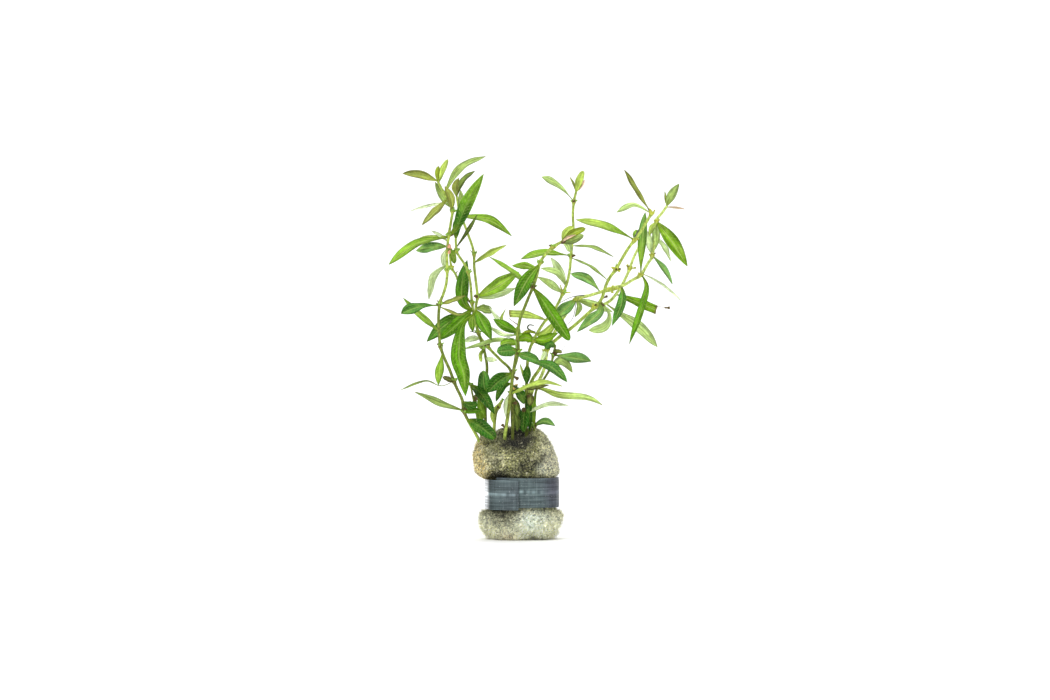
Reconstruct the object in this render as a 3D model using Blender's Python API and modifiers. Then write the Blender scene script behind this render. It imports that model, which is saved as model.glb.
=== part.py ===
"""A bunch of rotala: rooted stems with narrow leaves, held in a foam plug that a lead strip cinches.

Lengths in the tables are millimetres. X is to the right, Y is away from the viewer, Z is up, and the
origin is the centre of the plug's flat foot.
"""
import math
from collections import namedtuple

import bmesh
import bpy
from mathutils import Matrix, Vector, geometry

MM = 0.001
GAP = 0.3
HOLE_CLEARANCE = 0.38
WELD_DISTANCE = 0.00001

STEM_STEP = 12.5
STEM_TAPER = 0.75
NODE_SWELL = 1.5
NODE_REACH = 0.8
STEM_SIDES_RESOLUTION = 1

LEAF_THICKNESS = 0.45
LEAF_CELLS_ALONG = 5
SMALL_LEAF_CELLS_ALONG = 3
LEAF_CELL_LENGTH = 4.6
LEAF_FOLD = 0.18
LEAF_BASE_SHARE = 0.16
LEAF_TIP_SHARE = 0.09
LEAF_ROUTE_STEP = 0.5
LEAF_SKEWS = {"pointed": 1.05, "stalked": 1.5, "spoon": 2.2}
LEAF_FULLNESS = 0.85
BLUNT_FULL_FROM = 0.45
BLUNT_FULLNESS = 0.7
BLUNT_TIP_POWER = 5
CUT_FULL_FROM = 0.55
CUT_FULLNESS = 0.8

FOAM_POINTS_ROUND = 22
FOAM_SQUARENESS = 2.3
FOAM_TOP = 47.0
FOAM_RIM_FROM = 34.0
FOAM_RIM_REACH = 5.0
FOAM_LOBE_HEIGHT = 2.2
FOAM_LOBE_CENTRE = (6.0, 3.0)
FOAM_LOBE_REACH = (4.0, 8.0)
FOAM_BACK_HEIGHT = 3.2
FOAM_BACK_CENTRE = (-3.5, 8.0)
FOAM_BACK_REACH = (7.0, 5.5)
FOAM_SAG_DEPTH = 1.4
FOAM_SAG_HEIGHTS = (18.0, 25.4, 27.6, 31.0)
FOAM_SAG_LEFT = (10.0, 14.0)
FOAM_DIP_DEPTH = 1.8
FOAM_DIP_CENTRE = (-2.0, -8.0)
FOAM_DIP_REACH = (6.0, 6.0)
FOAM_SEAM_X = 5.8
FOAM_SEAM_SIZE = 2.4
FOAM_SEAM_LENGTH = 60.0

BAND_CENTRE_X = 1.1
BAND_HALF_WIDTH = 14.3
BAND_HALF_DEPTH = 11.7
BAND_BOTTOM = 12.0
BAND_HEIGHT = 12.0
BAND_THICKNESS = 1.2
BAND_RISE = 1.1
BAND_OVERLAP_DEGREES = 38.0
BAND_END_DEGREES = -93.0
BAND_LAP_FROM_DEGREES = 336.0
BAND_LAP_REACH_DEGREES = 18.0
BAND_SEGMENTS = 34

# Each ring of the plug: height, left edge, right edge, half of its depth.
FOAM_RINGS = (
    (0.0, -9.6, 11.4, 9.5),
    (0.7, -11.4, 12.9, 11.2),
    (2.4, -13.4, 14.6, 12.8),
    (5.0, -15.0, 15.8, 14.0),
    (8.2, -15.6, 16.7, 14.6),
    (10.6, -14.6, 16.4, 13.8),
    (11.6, -12.25, 14.45, 10.75),
    (18.0, -12.25, 14.45, 10.75),
    (25.4, -12.25, 14.45, 10.75),
    (26.2, -14.6, 15.2, 13.2),
    (27.6, -16.9, 15.6, 14.5),
    (31.0, -18.0, 15.2, 15.0),
    (34.4, -17.9, 14.0, 14.8),
    (37.2, -17.0, 12.7, 13.6),
    (39.6, -15.6, 11.2, 11.6),
    (41.0, -13.0, 9.0, 9.0),
    (40.6, -10.0, 6.8, 6.8),
    (39.0, -6.4, 4.6, 4.4),
)

Stem = namedtuple("Stem", "colour radius nodes path")

# Stems from their root in the foam, or from their fork, up to their tip.
STEMS = {
    "far_left": Stem("olive", 0.68, (51.5, 63.5, 77.5, 94.5, 108, 122, 131.5), (
        (-12.5, -2, 27), (-14, -2.5, 33.5), (-16.2, -3.4, 40), (-20.3, -5, 47.5), (-22, -6, 51.5),
        (-22.7, -7, 56), (-24.5, -8, 60), (-26, -9, 63.5), (-27.6, -10, 68), (-29.6, -11, 72.5),
        (-31.3, -12, 77.5), (-31.8, -13, 83), (-32, -14, 88), (-31.5, -15, 94.5), (-30, -15.6, 98.5),
        (-28.8, -16, 103), (-28.5, -16.5, 108), (-28.6, -17, 115), (-27.8, -17.4, 122),
        (-27, -17.8, 127), (-26.5, -18, 131.5), (-28.4, -18.6, 136), (-30.6, -19, 140),
        (-32.3, -19, 143.4),
    )),
    "left_back": Stem("olive", 0.66, (77, 94.5, 107, 115.5), (
        (-2.2, 3.5, 26), (-2.4, 4, 38), (-2.8, 5, 50), (-2.8, 6, 62), (-3.6, 6.6, 67.5),
        (-7, 7, 71), (-10, 6.6, 74), (-12.7, 5.6, 77), (-15.6, 4.6, 80.8), (-17.6, 3, 87),
        (-18.8, 0, 94.5), (-19.3, -3, 101.5), (-20.3, -5.5, 107), (-22, -7, 110.5),
        (-24, -8.4, 113.5), (-24.9, -9, 115.5), (-25.2, -10, 120.5),
    )),
    "left_inner": Stem("olive", 0.66, (58.5, 76.5, 82.5, 97, 114, 129), (
        (-11.5, 0.8, 27), (-12.8, 1, 36), (-13.4, 1.6, 47.5), (-13.4, 2, 58.5), (-12.8, 1.5, 68),
        (-13.4, 1, 73), (-14.3, 0.5, 76.5), (-16.2, -0.6, 82.5), (-17.3, -1.2, 87), (-17.2, -2, 93),
        (-16.6, -2.5, 97), (-17.2, -2.2, 103), (-17.9, -0.4, 109), (-18, 1.4, 114), (-19, 3, 118),
        (-20.5, 5, 122), (-22, 7, 126), (-23.6, 8, 129), (-25, 9, 137.2),
    )),
    "left_shoot": Stem("light", 0.55, (108.5,), (
        (-20.3, 1.0, 95.6), (-22.5, 3.2, 98.8), (-24.2, 4, 102.6), (-25.3, 4, 105.6),
        (-27, 2.6, 108.5), (-27.6, 1, 113), (-27.4, 0, 115.8),
    )),
    "left_low": Stem("olive", 0.5, (54, 62), (
        (-12.6, 4.6, 28), (-14.6, 5, 38), (-16.5, 5.4, 47), (-17.9, 4.4, 54), (-19.1, 2.4, 60),
        (-19.5, 1.6, 62.4),
    )),
    "low_shoot": Stem("light", 0.8, (53,), (
        (-9.2, -4, 28), (-9.9, -4, 38), (-9.9, -3.6, 45), (-9.1, -3, 51), (-6.7, -1.6, 55.6),
    )),
    "front": Stem("olive", 0.74, (75, 101, 111, 117), (
        (-6.2, -6, 26), (-6, -7, 38), (-5, -8.6, 46), (-4.1, -9.6, 52), (-3.3, -10.8, 59),
        (-2.4, -12, 66), (-1, -13.5, 75), (-0.8, -14.6, 80), (-0.3, -15.4, 84.5), (0.6, -16.2, 89),
        (2.2, -17, 93), (4, -18, 97.5), (5.5, -19, 101), (6.9, -19.6, 105), (7.6, -20, 108),
        (8.4, -20.6, 111), (10.4, -21, 114), (13.4, -21.6, 117), (17.4, -22, 119.5),
    )),
    "middle": Stem("olive", 0.62, (58, 66.8, 75, 82), (
        (-2.4, -2.6, 26), (-2.6, -3, 38), (-2.4, -3.5, 50), (-3.1, -4.4, 58), (-2.2, -5, 66.8),
        (-0.7, -5.4, 72.4), (-0.1, -6, 77), (-0.8, -6.4, 84),
    )),
    "right_upper": Stem("olive", 0.68, (60.2, 79.5, 98.4, 113.2, 134.8), (
        (2.6, 0.6, 26), (3, 0.8, 38), (2.9, 1, 50), (3, 0.8, 60.2), (3.2, 0.5, 67.6), (4, 0, 74.8),
        (5.8, 0, 79.5), (7.8, -0.5, 83.2), (10.3, -1, 87), (13.1, -1, 89.8), (15.6, -0.6, 94.2),
        (17.6, 0, 98.4), (19.2, 1, 102.4), (20.3, 2.4, 107.6), (20.8, 4, 113.2),
        (21.3, 5.4, 118), (21.8, 6.8, 124), (21.6, 8, 129.6), (22, 8.8, 134.8), (22.9, 9, 138.8),
    )),
    "right_main": Stem("light", 0.78, (74.8, 92.8, 108, 119.6, 130.4), (
        (3.6, 4.6, 26), (4.3, 4.8, 38), (4.5, 5, 48), (4, 5, 58), (5.2, 5.2, 63.2), (8.8, 6.2, 68.8),
        (10.6, 7, 74.8), (13, 7, 77.8), (16.4, 6, 80.8), (20.4, 5, 83.8), (24.4, 4, 87.2),
        (30.4, 2.6, 92.8), (33, 1.2, 96), (34.8, -0.8, 101.6), (36.4, -2.2, 104.8),
        (38.7, -3.6, 108), (41.2, -5.2, 112.4), (43.6, -6.8, 116.4), (46, -8, 119.6),
        (48.8, -9.4, 123.6), (51.4, -10.6, 128), (52.8, -11, 130.4),
    )),
    "right_fork": Stem("light", 0.66, (108,), (
        (32.2, 4.4, 93.6), (34.4, 5, 93.9), (37.2, 5.4, 95.8), (39.6, 6, 98.8), (41.6, 6.8, 102),
        (43.2, 7.6, 105.2), (44.4, 8.4, 108), (46, 9.6, 112.4), (48, 11, 116.4), (49.7, 12, 120.4),
    )),
    "right_back": Stem("light", 0.74, (95.6, 100, 105.6, 113.2, 127), (
        (2, 8, 26), (2.4, 8.4, 38), (2.9, 9.6, 48), (5.4, 11, 59), (8.4, 12, 63.6), (10.4, 13, 68.6),
        (11.2, 14, 74), (13.2, 14.4, 80), (15.7, 13.6, 84.6), (19.4, 11.6, 90.6), (22.8, 9.6, 95.6),
        (28.4, 7.4, 97.3), (33.2, 5.4, 98.8), (37.2, 4.2, 100), (41.6, 3.6, 101.3),
        (45.2, 3.8, 103.4), (48.8, 5, 105.6), (51.6, 7, 110), (53.5, 8.6, 113.2),
        (54.4, 11.4, 119.6), (55.2, 14, 127), (57.6, 15, 130.4), (59.6, 15.6, 133.2),
    )),
    "right_low": Stem("olive", 0.6, (45, 68.4, 73.6), (
        (6, 1.4, 28), (6.2, 1.8, 38), (6.1, 2, 45), (6.5, 2, 57), (7.8, 1.6, 61), (10, 1, 64),
        (12.5, 0.4, 68.4), (13.7, 0, 73.6), (14.6, -0.4, 77.6),
    )),
}

Leaf = namedtuple("Leaf", "colour route depths width tilt shape", defaults=("pointed",))

# Each leaf: its route in X and Z from its stem to its tip, how far its middle and its tip lie behind its
# root, its width as seen from the front, how far its face is tilted up from there in degrees, and the
# shape of its tip.
LEAVES = {
    "far_left": (
        Leaf("olive", ((-32.2, 143.2), (-39, 145.5), (-46, 146.3)), (-3, -8), 3.2, 35),
        Leaf("light", ((-29.4, 138.2), (-22.8, 148.4), (-13.3, 153)), (4, 7), 2.7, 50),
        Leaf("vivid", ((-27.8, 121.6), (-24.6, 125), (-20.6, 134), (-14, 146)), (-4.5, -4), 5.2, 20),
        Leaf("olive", ((-28.4, 136), (-32.6, 131.6), (-38.3, 125.8)), (-5.5, -11), 2.8, 35),
        Leaf("bright", ((-28, 121), (-40, 118.6), (-51.5, 110.2)), (-5, -8), 3.4, 40, "stalked"),
        Leaf("blue", ((-28.4, 117.4), (-34.5, 116.8), (-41, 115.4)), (5, 11), 3.8, 30),
        Leaf("pale", ((-28.5, 110), (-34.2, 105.6), (-36, 96)), (5, 10), 2.8, -40),
        Leaf("blue", ((-31.5, 93.8), (-38.5, 93.6), (-46.7, 90.7)), (-4, -8), 4.2, 35, "spoon"),
        Leaf("bright", ((-30.4, 75), (-31.2, 69), (-31.9, 62.4)), (-5, -9), 3.4, 25, "stalked"),
        Leaf("blue", ((-21.9, 51.5), (-31.5, 54.4), (-41.5, 59.3)), (-3, -8), 2.4, 50),
        Leaf("dark", ((-20.3, 48), (-15.4, 45.3), (-9.4, 40.6)), (-6, -10), 5.6, 20, "blunt"),
    ),
    "left_back": (
        Leaf("vivid", ((-18.2, 90.8), (-22.6, 95), (-22.8, 103), (-20.8, 111.5)), (-2.6, -0.5), 5.2, 20),
        Leaf("dark", ((-18.1, 89.6), (-28, 86.4), (-37, 78.7)), (3.5, 6), 5.4, 20),
        Leaf("vivid", ((-18.4, 92), (-24.5, 86), (-32, 79.5)), (-1.5, -2.5), 5.0, 20),
    ),
    "left_inner": (
        Leaf("vivid", ((-17.1, 90.6), (-22.6, 85.4), (-23.9, 74), (-22, 66.5), (-21.2, 57.7)),
             (-8.5, -11), 6.3, 15, "stalked"),
        Leaf("vivid", ((-17.2, 91.6), (-14.6, 86.4), (-11, 80)), (-6, -10), 5.0, 25),
        Leaf("bright", ((-16.6, 97), (-8, 101.4), (0, 107)), (-4, -7), 5.2, 30),
        Leaf("blue", ((-13.4, 58.5), (-14.2, 62.4), (-14.4, 67.5)), (-4, -6), 5.2, 15, "blunt"),
        Leaf("bright", ((-23.4, 129), (-12, 127.2), (-3, 121)), (4, 9), 3.2, 45),
    ),
    "left_low": (
        Leaf("dark", ((-19.3, 62), (-14.8, 57.6), (-9.8, 50.4)), (-6.5, -11), 4.2, 25),
    ),
    "front": (
        Leaf("vivid", ((8.1, 110.2), (2.9, 103.4), (-2, 93.8)), (-5, -9), 5.4, 15),
        Leaf("vivid", ((5.5, 101), (9.2, 96), (13.6, 89.4), (20, 80.2)), (-4.5, -5), 5.2, 20, "blunt"),
        Leaf("blue", ((-1, 76.2), (-4.6, 75.8), (-8.8, 75.6)), (-5, -9), 5.0, 25, "blunt"),
        Leaf("blue", ((-1, 74.6), (4.6, 72.9), (8.4, 71.1)), (-3.5, -7), 3.6, 35),
        Leaf("light", ((-3.3, 58.2), (4, 61.6), (10.4, 63.2), (17.2, 61.7)), (-5, -7), 1.8, 50),
    ),
    "middle": (
        Leaf("dark", ((-1.7, 82.8), (-5.6, 85.2), (-10.2, 88.2)), (-4, -4), 3.8, 30),
        Leaf("dark", ((-2.9, 66.4), (-7.6, 63.6), (-12.8, 59)), (-4, -9), 5.8, 20),
    ),
    "right_upper": (
        Leaf("vivid", ((20.8, 113.4), (10, 114.4), (0.8, 112)), (-5, -9), 2.8, 45, "stalked"),
        Leaf("straw", ((10.8, 87.6), (3.5, 89.6), (-4, 90.2)), (-4, -7), 2.9, 25, "cut"),
        Leaf("dark", ((6, 79.8), (11, 80.2), (15.6, 82.6)), (-5, -8), 3.4, 35),
        Leaf("bright", ((3.6, 71), (12.2, 69.4), (19.2, 63.2)), (-8, -11), 3.8, 35, "stalked"),
        Leaf("light", ((3, 60.2), (9, 60), (16, 57.6), (27, 56.6), (33.2, 54)),
             (-7, -11), 2.8, 45, "stalked"),
    ),
    "right_main": (
        Leaf("bright", ((46, 119.6), (40.6, 122.6), (33, 125.5), (22.7, 127.8)),
             (-4, -3), 3.2, 40, "stalked"),
        Leaf("dark", ((32.2, 94.8), (32.6, 91), (28, 87), (23.2, 83.1)), (-7, -11), 3.8, 30),
        Leaf("olive", ((52.8, 130.4), (46.8, 139), (41.8, 147.6)), (-2, -7), 2.1, 45, "stalked"),
    ),
    "right_fork": (
        Leaf("vivid", ((38.9, 97.9), (46, 95), (55, 91.2)), (2, 4), 3.6, 25, "cut"),
        Leaf("light", ((34.6, 94), (40.4, 89.8), (48.6, 83.8), (55.6, 76.4)), (4, 9), 4.2, 35, "stalked"),
    ),
    "right_back": (
        Leaf("blue", ((32.4, 98.5), (30.4, 101), (26.4, 104.1), (20.8, 105.8)), (5, 9), 3.4, 35, "stalked"),
        Leaf("vivid", ((22.8, 95.6), (30, 93.2), (37.6, 90.4)), (4, 8), 3.2, 30),
        Leaf("dark", ((41, 102), (41.2, 94.6), (37.2, 85.5)), (-6, -9), 3.6, 25),
        Leaf("vivid", ((49.2, 105.6), (51.2, 100.6), (49, 92), (44.1, 78.1)), (-7, -9), 2.8, 30),
        Leaf("vivid", ((55.2, 127), (61.4, 118.6), (67.5, 108.9)), (-4.5, -6), 5.2, 20),
        Leaf("vivid", ((48.8, 105.6), (49.4, 117), (50.6, 130.6)), (1, 0), 3.6, 30, "stalked"),
    ),
    "right_low": (
        Leaf("blue", ((13.7, 73.6), (21.2, 72.6), (28.7, 71.3)), (-4, -9), 4.2, 35, "stalked"),
        Leaf("bright", ((12.5, 68.4), (17, 71), (21.3, 66.8)), (-3.5, -6.5), 3.4, 35),
    ),
}

# Leaves grown in one with their stem: the small ones, the tip clusters and the crowded ones.
GROWN_LEAVES = {
    "far_left": (
        Leaf("olive", ((-26.8, 132.5), (-30.4, 137.4), (-33.4, 142.8)), (2.2, 2), 3.4, 20),
        Leaf("straw", ((-26.5, 131.9), (-27, 136.4), (-29.4, 141.2)), (-2.6, -2.2), 3.0, 15),
        Leaf("light", ((-32.2, 143), (-32.3, 146.2), (-31.8, 149.2)), (-1.5, -3), 1.9, 20, "blunt"),
        Leaf("light", ((-31.8, 142.6), (-30.2, 147.4), (-28.2, 151.8)), (2, 3.5), 2.4, 30, "blunt"),
        Leaf("pale", ((-28, 134.8), (-36, 133.4), (-43.3, 131.3)), (6, 11), 1.2, 20),
        Leaf("dark", ((-28, 121.4), (-37, 120), (-45.3, 116.5)), (3.5, 4), 2.0, 50),
        Leaf("pink", ((-27.8, 119), (-31.4, 121.6), (-35, 123.6)), (1.6, 0.5), 1.4, 20),
        Leaf("dark", ((-28.6, 116.4), (-29.8, 113), (-29.6, 109.2)), (2.4, 3.6), 2.4, 20, "blunt"),
        Leaf("vivid", ((-28.4, 117), (-26.6, 114), (-25.6, 110.4)), (3, 4), 2.6, 20, "blunt"),
        Leaf("bright", ((-31.8, 83.4), (-40, 90), (-46.2, 96.5)), (5, 8), 2.5, 40),
        Leaf("olive", ((-31.5, 94), (-27, 95.4), (-21.3, 97.7)), (-1, -1), 1.7, 50),
        Leaf("olive", ((-31.5, 93.4), (-26.6, 91), (-23.4, 90), (-20.8, 91)), (-2, -3), 1.1, 40),
        Leaf("brown", ((-26, 63.6), (-28.2, 64.2), (-30.4, 65.2)), (-2, -3), 2.0, 30, "blunt"),
        Leaf("olive", ((-26, 63.4), (-31, 61.6), (-37.5, 63.7), (-47, 60.3)), (-3, -10), 0.9, 0, "spoon"),
        Leaf("dark", ((-22.5, 55), (-19.4, 53.6), (-16.4, 54.4)), (-2.5, -5), 3.2, 25, "blunt"),
        Leaf("bright", ((-21.9, 51.3), (-18, 51.6), (-14.8, 51.8)), (-3, -4.5), 2.4, 30),
    ),
    "left_back": (
        Leaf("dark", ((-25, 116.6), (-20.4, 123), (-16.6, 129.8)), (-1, 2), 1.4, 40),
        Leaf("dark", ((-25.2, 119.6), (-24.6, 125.4), (-23, 131.4)), (2, 3.4), 3.4, 10),
    ),
    "left_inner": (
        Leaf("bright", ((-17.3, 91), (-18.8, 87.4), (-18.4, 82.8)), (1.8, 2.2), 3.0, 10),
        Leaf("blue", ((-17.2, 92.4), (-14, 91.8), (-10.8, 91.2)), (3.5, 7), 3.4, 30, "blunt"),
        Leaf("pale", ((-16.7, 96.4), (-9, 98), (-1.2, 100.4)), (4, 8), 3.0, -30),
        Leaf("olive", ((-18, 110.2), (-13, 113.4), (-5, 117.6)), (-4, -9), 2.2, 40),
        Leaf("olive", ((-25, 137), (-22.6, 143), (-17.7, 147.2)), (2, 5), 2.2, 40),
        Leaf("dark", ((-25, 136.6), (-25.4, 141), (-24, 144.4)), (-2, -4), 2.6, 25),
        Leaf("pale", ((-24.2, 131.6), (-23, 135.4), (-23.4, 139.6)), (-2.5, -3), 2.6, 20),
        Leaf("light", ((-14.2, 76.2), (-15.3, 73.6), (-15, 70.8)), (-2, -3), 1.6, 20, "blunt"),
        Leaf("pale", ((-13.3, 72.6), (-11.6, 71.7), (-8.8, 71.6)), (-2, -3.5), 2.0, 30),
        Leaf("bright", ((-15.5, 80.2), (-19, 79.8), (-22, 79)), (2.5, 5), 2.6, 35),
        Leaf("bright", ((-13.4, 47.5), (-15.3, 52.4), (-16, 57.6)), (-1.5, -1), 3.0, 20),
    ),
    "left_shoot": (),
    "left_low": (
        Leaf("bright", ((-15.6, 43.4), (-15.6, 47.8), (-17.4, 52)), (-1, -1.2), 2.6, 10),
        Leaf("olive", ((-18.2, 55), (-16.8, 56.6), (-14.9, 56.4)), (1.5, 3), 2.4, 20, "blunt"),
    ),
    "low_shoot": (
        Leaf("light", ((-9.9, 46), (-10.6, 50), (-8.6, 54)), (-1, -1), 1.8, 10),
    ),
    "front": (
        Leaf("bright", ((7.6, 108), (2.4, 109.4), (-2.7, 109.5)), (4, 7), 2.8, 30),
        Leaf("bright", ((5.4, 100.8), (-3.4, 107.6), (-11.8, 113)), (6, 10), 2.0, 40),
        Leaf("bright", ((16.8, 119.2), (21.4, 122.4), (26.4, 124.4)), (-2, -4), 3.0, 25, "blunt"),
        Leaf("bright", ((16, 118.8), (20.8, 119.6), (25.6, 121.8)), (1, 2), 3.2, 25, "blunt"),
        Leaf("pink", ((16.8, 119.2), (19.6, 121), (22.6, 122.1)), (-3.4, -5), 1.2, 10),
        Leaf("bright", ((16.8, 119.1), (19.4, 117.8), (20, 115.2)), (0.5, 1), 2.8, 20, "blunt"),
        Leaf("light", ((17, 119.4), (18.8, 122.6), (21.4, 125.2)), (2, 4), 3.0, 25, "blunt"),
    ),
    "middle": (
        Leaf("olive", ((-1.7, 81.4), (-6.4, 81.8), (-13, 85.6)), (3, 4), 1.6, 30),
        Leaf("light", ((-1.8, 83), (-8.4, 88), (-12, 93)), (3, 5), 1.7, 30),
        Leaf("light", ((-1.8, 83.8), (-6.9, 87.6), (-5.4, 92)), (3, 4), 1.2, 20),
        Leaf("bright", ((-1.4, 78.4), (-4.4, 78.8), (-7.4, 77.8)), (-2, -4), 3.0, 30, "blunt"),
        Leaf("light", ((-1.3, 79.4), (-9.6, 79.6), (-15.6, 77.8), (-22.4, 76)), (2.2, 2.4), 1.8, 30),
        Leaf("dark", ((-3.1, 62.4), (-6.6, 60.6), (-9.2, 55)), (2, 2), 2.8, 20),
        Leaf("dark", ((-2.9, 60.6), (0.2, 58.4), (2, 54)), (1.6, 2.6), 3.8, 15),
        Leaf("blue", ((-2.6, 54.6), (-0.6, 51.6), (0.2, 48.2)), (1.6, 2.6), 2.8, 10, "blunt"),
        Leaf("bright", ((-2.5, 52), (-1, 47.6), (-0.8, 43)), (1.4, 2), 3.0, 10),
        Leaf("olive", ((-3, 57.4), (-0.9, 53.6), (-0.7, 48.8)), (0.6, 0.4), 2.6, 0),
        Leaf("vivid", ((-2.9, 59.4), (-4.8, 54), (-4.2, 47)), (-1.4, -1.6), 2.6, 10),
    ),
    "right_upper": (
        Leaf("bright", ((19, 102.2), (14.9, 106.5), (8.8, 108.4)), (-5, -9), 2.6, 40),
        Leaf("vivid", ((17.6, 98.6), (12.6, 101.9), (7.4, 105)), (-5, -9), 2.8, 30),
        Leaf("pale", ((18.6, 101), (16.6, 107), (12.8, 112.4)), (4, 9), 3.2, -30),
        Leaf("bright", ((22, 135), (18.6, 138.8), (14, 142.3), (9.1, 144.8)), (-3, -8), 2.6, 40, "spoon"),
        Leaf("light", ((22.8, 138.4), (24.2, 143), (25.8, 147.2)), (-0.5, 0), 3.0, 20, "blunt"),
        Leaf("pink", ((22.9, 139.2), (25.2, 141.4), (26.4, 143.8)), (-1, -1.4), 1.3, 20),
        Leaf("olive", ((22.9, 138.8), (21.9, 142), (20.4, 144.8)), (1, 2), 0.9, 0),
        Leaf("bright", ((5.8, 79.6), (2.6, 80.6), (-0.4, 79.2)), (-2.4, -3), 4.0, 20),
        Leaf("straw", ((7.2, 82), (3.8, 83.2), (0.8, 82.2)), (-2.5, -4), 1.1, 0),
        Leaf("brown", ((3, 59.8), (7.4, 60.9), (12, 61.8)), (-5.5, -8), 1.8, 30),
        Leaf("olive", ((21.2, 117.3), (29.5, 116.6), (37.8, 112.8)), (-1, -2), 1.3, 45),
        Leaf("blue", ((21, 112.4), (28.4, 109), (35.4, 103.5)), (1, 0.5), 1.0, 45),
        Leaf("blue", ((5.5, 79), (9, 78.6), (12.6, 77)), (1, 1.5), 2.6, 15),
        Leaf("vivid", ((6.9, 81.4), (11.2, 82.8), (15, 87.2)), (-1.8, -2.4), 3.2, 15),
        Leaf("dark", ((3.5, 69.6), (3.2, 66.2), (3.1, 62)), (-1.2, -1.4), 3.2, 0),
        Leaf("light", ((3.1, 61.8), (1.9, 65.4), (0.4, 70)), (-0.6, 0), 1.1, 0),
        Leaf("brown", ((3, 58.4), (4.4, 56.8), (4.2, 53.4)), (-1.4, -2), 3.0, 10, "blunt"),
        Leaf("dark", ((2.9, 53), (1.8, 48), (1.8, 42.6)), (-1.8, -2.8), 4.6, 10),
        Leaf("dark", ((3.1, 59), (4.1, 51), (4.2, 43.2)), (-1, -1.4), 2.6, 0),
        Leaf("pale", ((2.9, 50), (6.4, 51.9), (12.4, 54), (19.8, 53.7)), (-5, -9), 1.8, 40),
    ),
    "right_main": (
        Leaf("pale", ((10.6, 75.2), (10, 73.2), (8.8, 71.2)), (-3, -4), 2.0, 10, "blunt"),
        Leaf("pale", ((32.6, 95.4), (36, 89.8), (34, 85), (28, 83.3)), (3, 5), 3.6, -30, "spoon"),
        Leaf("light", ((52.6, 130.2), (45.8, 133.5), (39, 130.7)), (2, 6), 2.0, 45, "stalked"),
        Leaf("bright", ((46, 119.6), (46.9, 121.8), (46.6, 123.8)), (1, 1.5), 2.8, 20, "blunt"),
    ),
    "right_fork": (),
    "right_back": (
        Leaf("blue", ((22.8, 95.6), (18.4, 91.6), (13.4, 87.8)), (-3, -4), 4.6, 25),
        Leaf("olive", ((22.8, 95.6), (24.4, 92.4), (22.4, 88.6)), (-2.5, -4), 2.2, 20),
        Leaf("blue", ((53.5, 113.2), (58, 108), (61.3, 101.9)), (-4, -9), 2.1, 35),
        Leaf("pale", ((54.5, 121), (58.6, 117), (61.2, 110.8)), (5, 9), 2.0, -40),
        Leaf("pale", ((53.6, 113.6), (52.9, 118), (51.2, 123.4)), (6, 9), 3.4, -20),
        Leaf("light", ((55.2, 126.8), (55.2, 121), (54.6, 115.6)), (-2.4, -4), 3.2, 20),
        Leaf("bright", ((55.1, 126.6), (53.3, 124), (52.3, 121)), (-3, -5), 2.2, 20),
        Leaf("light", ((59.4, 132.8), (61.6, 137.6), (64.4, 142)), (-1, -2), 3.4, 20),
        Leaf("olive", ((59.4, 133), (59, 136), (58.7, 139)), (1, 2), 1.0, 0),
        Leaf("pink", ((59.2, 132.6), (63.4, 132.4), (66.8, 131.8)), (-2, -4), 0.9, 0),
        Leaf("pale", ((49.4, 105.9), (57.5, 101.7), (65.5, 94.8)), (4, 8), 1.0, 0),
    ),
    "right_low": (
        Leaf("dark", ((14.5, 77.4), (12.4, 77.8), (10.6, 76)), (-2, -3), 3.0, 20, "blunt"),
        Leaf("olive", ((13.9, 74.6), (15.6, 75.2), (17.2, 74.6)), (-1.6, -2), 1.7, 10, "blunt"),
        Leaf("blue", ((6.1, 45.2), (10.2, 47), (14.4, 45.4)), (-3, -6), 2.6, 35),
        Leaf("bright", ((6.1, 45), (5.6, 50.6), (6.2, 57.4)), (-1.2, -1), 2.6, 0),
    ),
}

COLOURS = {
    "vivid": (0.075, 0.290, 0.016),
    "bright": (0.110, 0.330, 0.045),
    "dark": (0.022, 0.130, 0.022),
    "blue": (0.060, 0.200, 0.075),
    "light": (0.300, 0.480, 0.090),
    "pale": (0.420, 0.600, 0.260),
    "olive": (0.220, 0.260, 0.060),
    "straw": (0.380, 0.450, 0.060),
    "pink": (0.560, 0.300, 0.170),
    "brown": (0.120, 0.095, 0.035),
    "foam": (0.330, 0.310, 0.210),
    "lead": (0.115, 0.150, 0.190),
}
TO_VIEWER = Vector((0, -1, 0))
ROUGHNESS = {"foam": 0.9, "lead": 0.5}
LEAF_ROUGHNESS = 0.4


def material(colour):
    """The material of that colour, made once."""
    existing = bpy.data.materials.get(colour)
    if existing:
        return existing
    made = bpy.data.materials.new(colour)
    made.use_nodes = True
    shader = made.node_tree.nodes["Principled BSDF"]
    shader.inputs["Base Color"].default_value = (*COLOURS[colour], 1.0)
    shader.inputs["Roughness"].default_value = ROUGHNESS.get(colour, LEAF_ROUGHNESS)
    shader.inputs["Metallic"].default_value = 1.0 if colour == "lead" else 0.0
    return made


def add_object(name, mesh, collection, colour):
    """A new object of that mesh, in that collection and of that colour."""
    made = bpy.data.objects.new(name, mesh)
    made.data.materials.append(material(colour))
    collection.objects.link(made)
    return made


def as_guide(helper):
    """Marks an object that only cuts or joins another one."""
    helper.hide_render = True
    helper.display_type = "WIRE"


def add_boolean(target, helper, operation):
    """Cuts the helper from the target, or joins it on."""
    modifier = target.modifiers.new(helper.name, "BOOLEAN")
    modifier.object = helper
    modifier.operation = operation
    modifier.solver = "EXACT"


def add_weld(target):
    """Joins the corners that a Boolean leaves doubled."""
    modifier = target.modifiers.new("weld", "WELD")
    modifier.merge_threshold = WELD_DISTANCE


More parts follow.
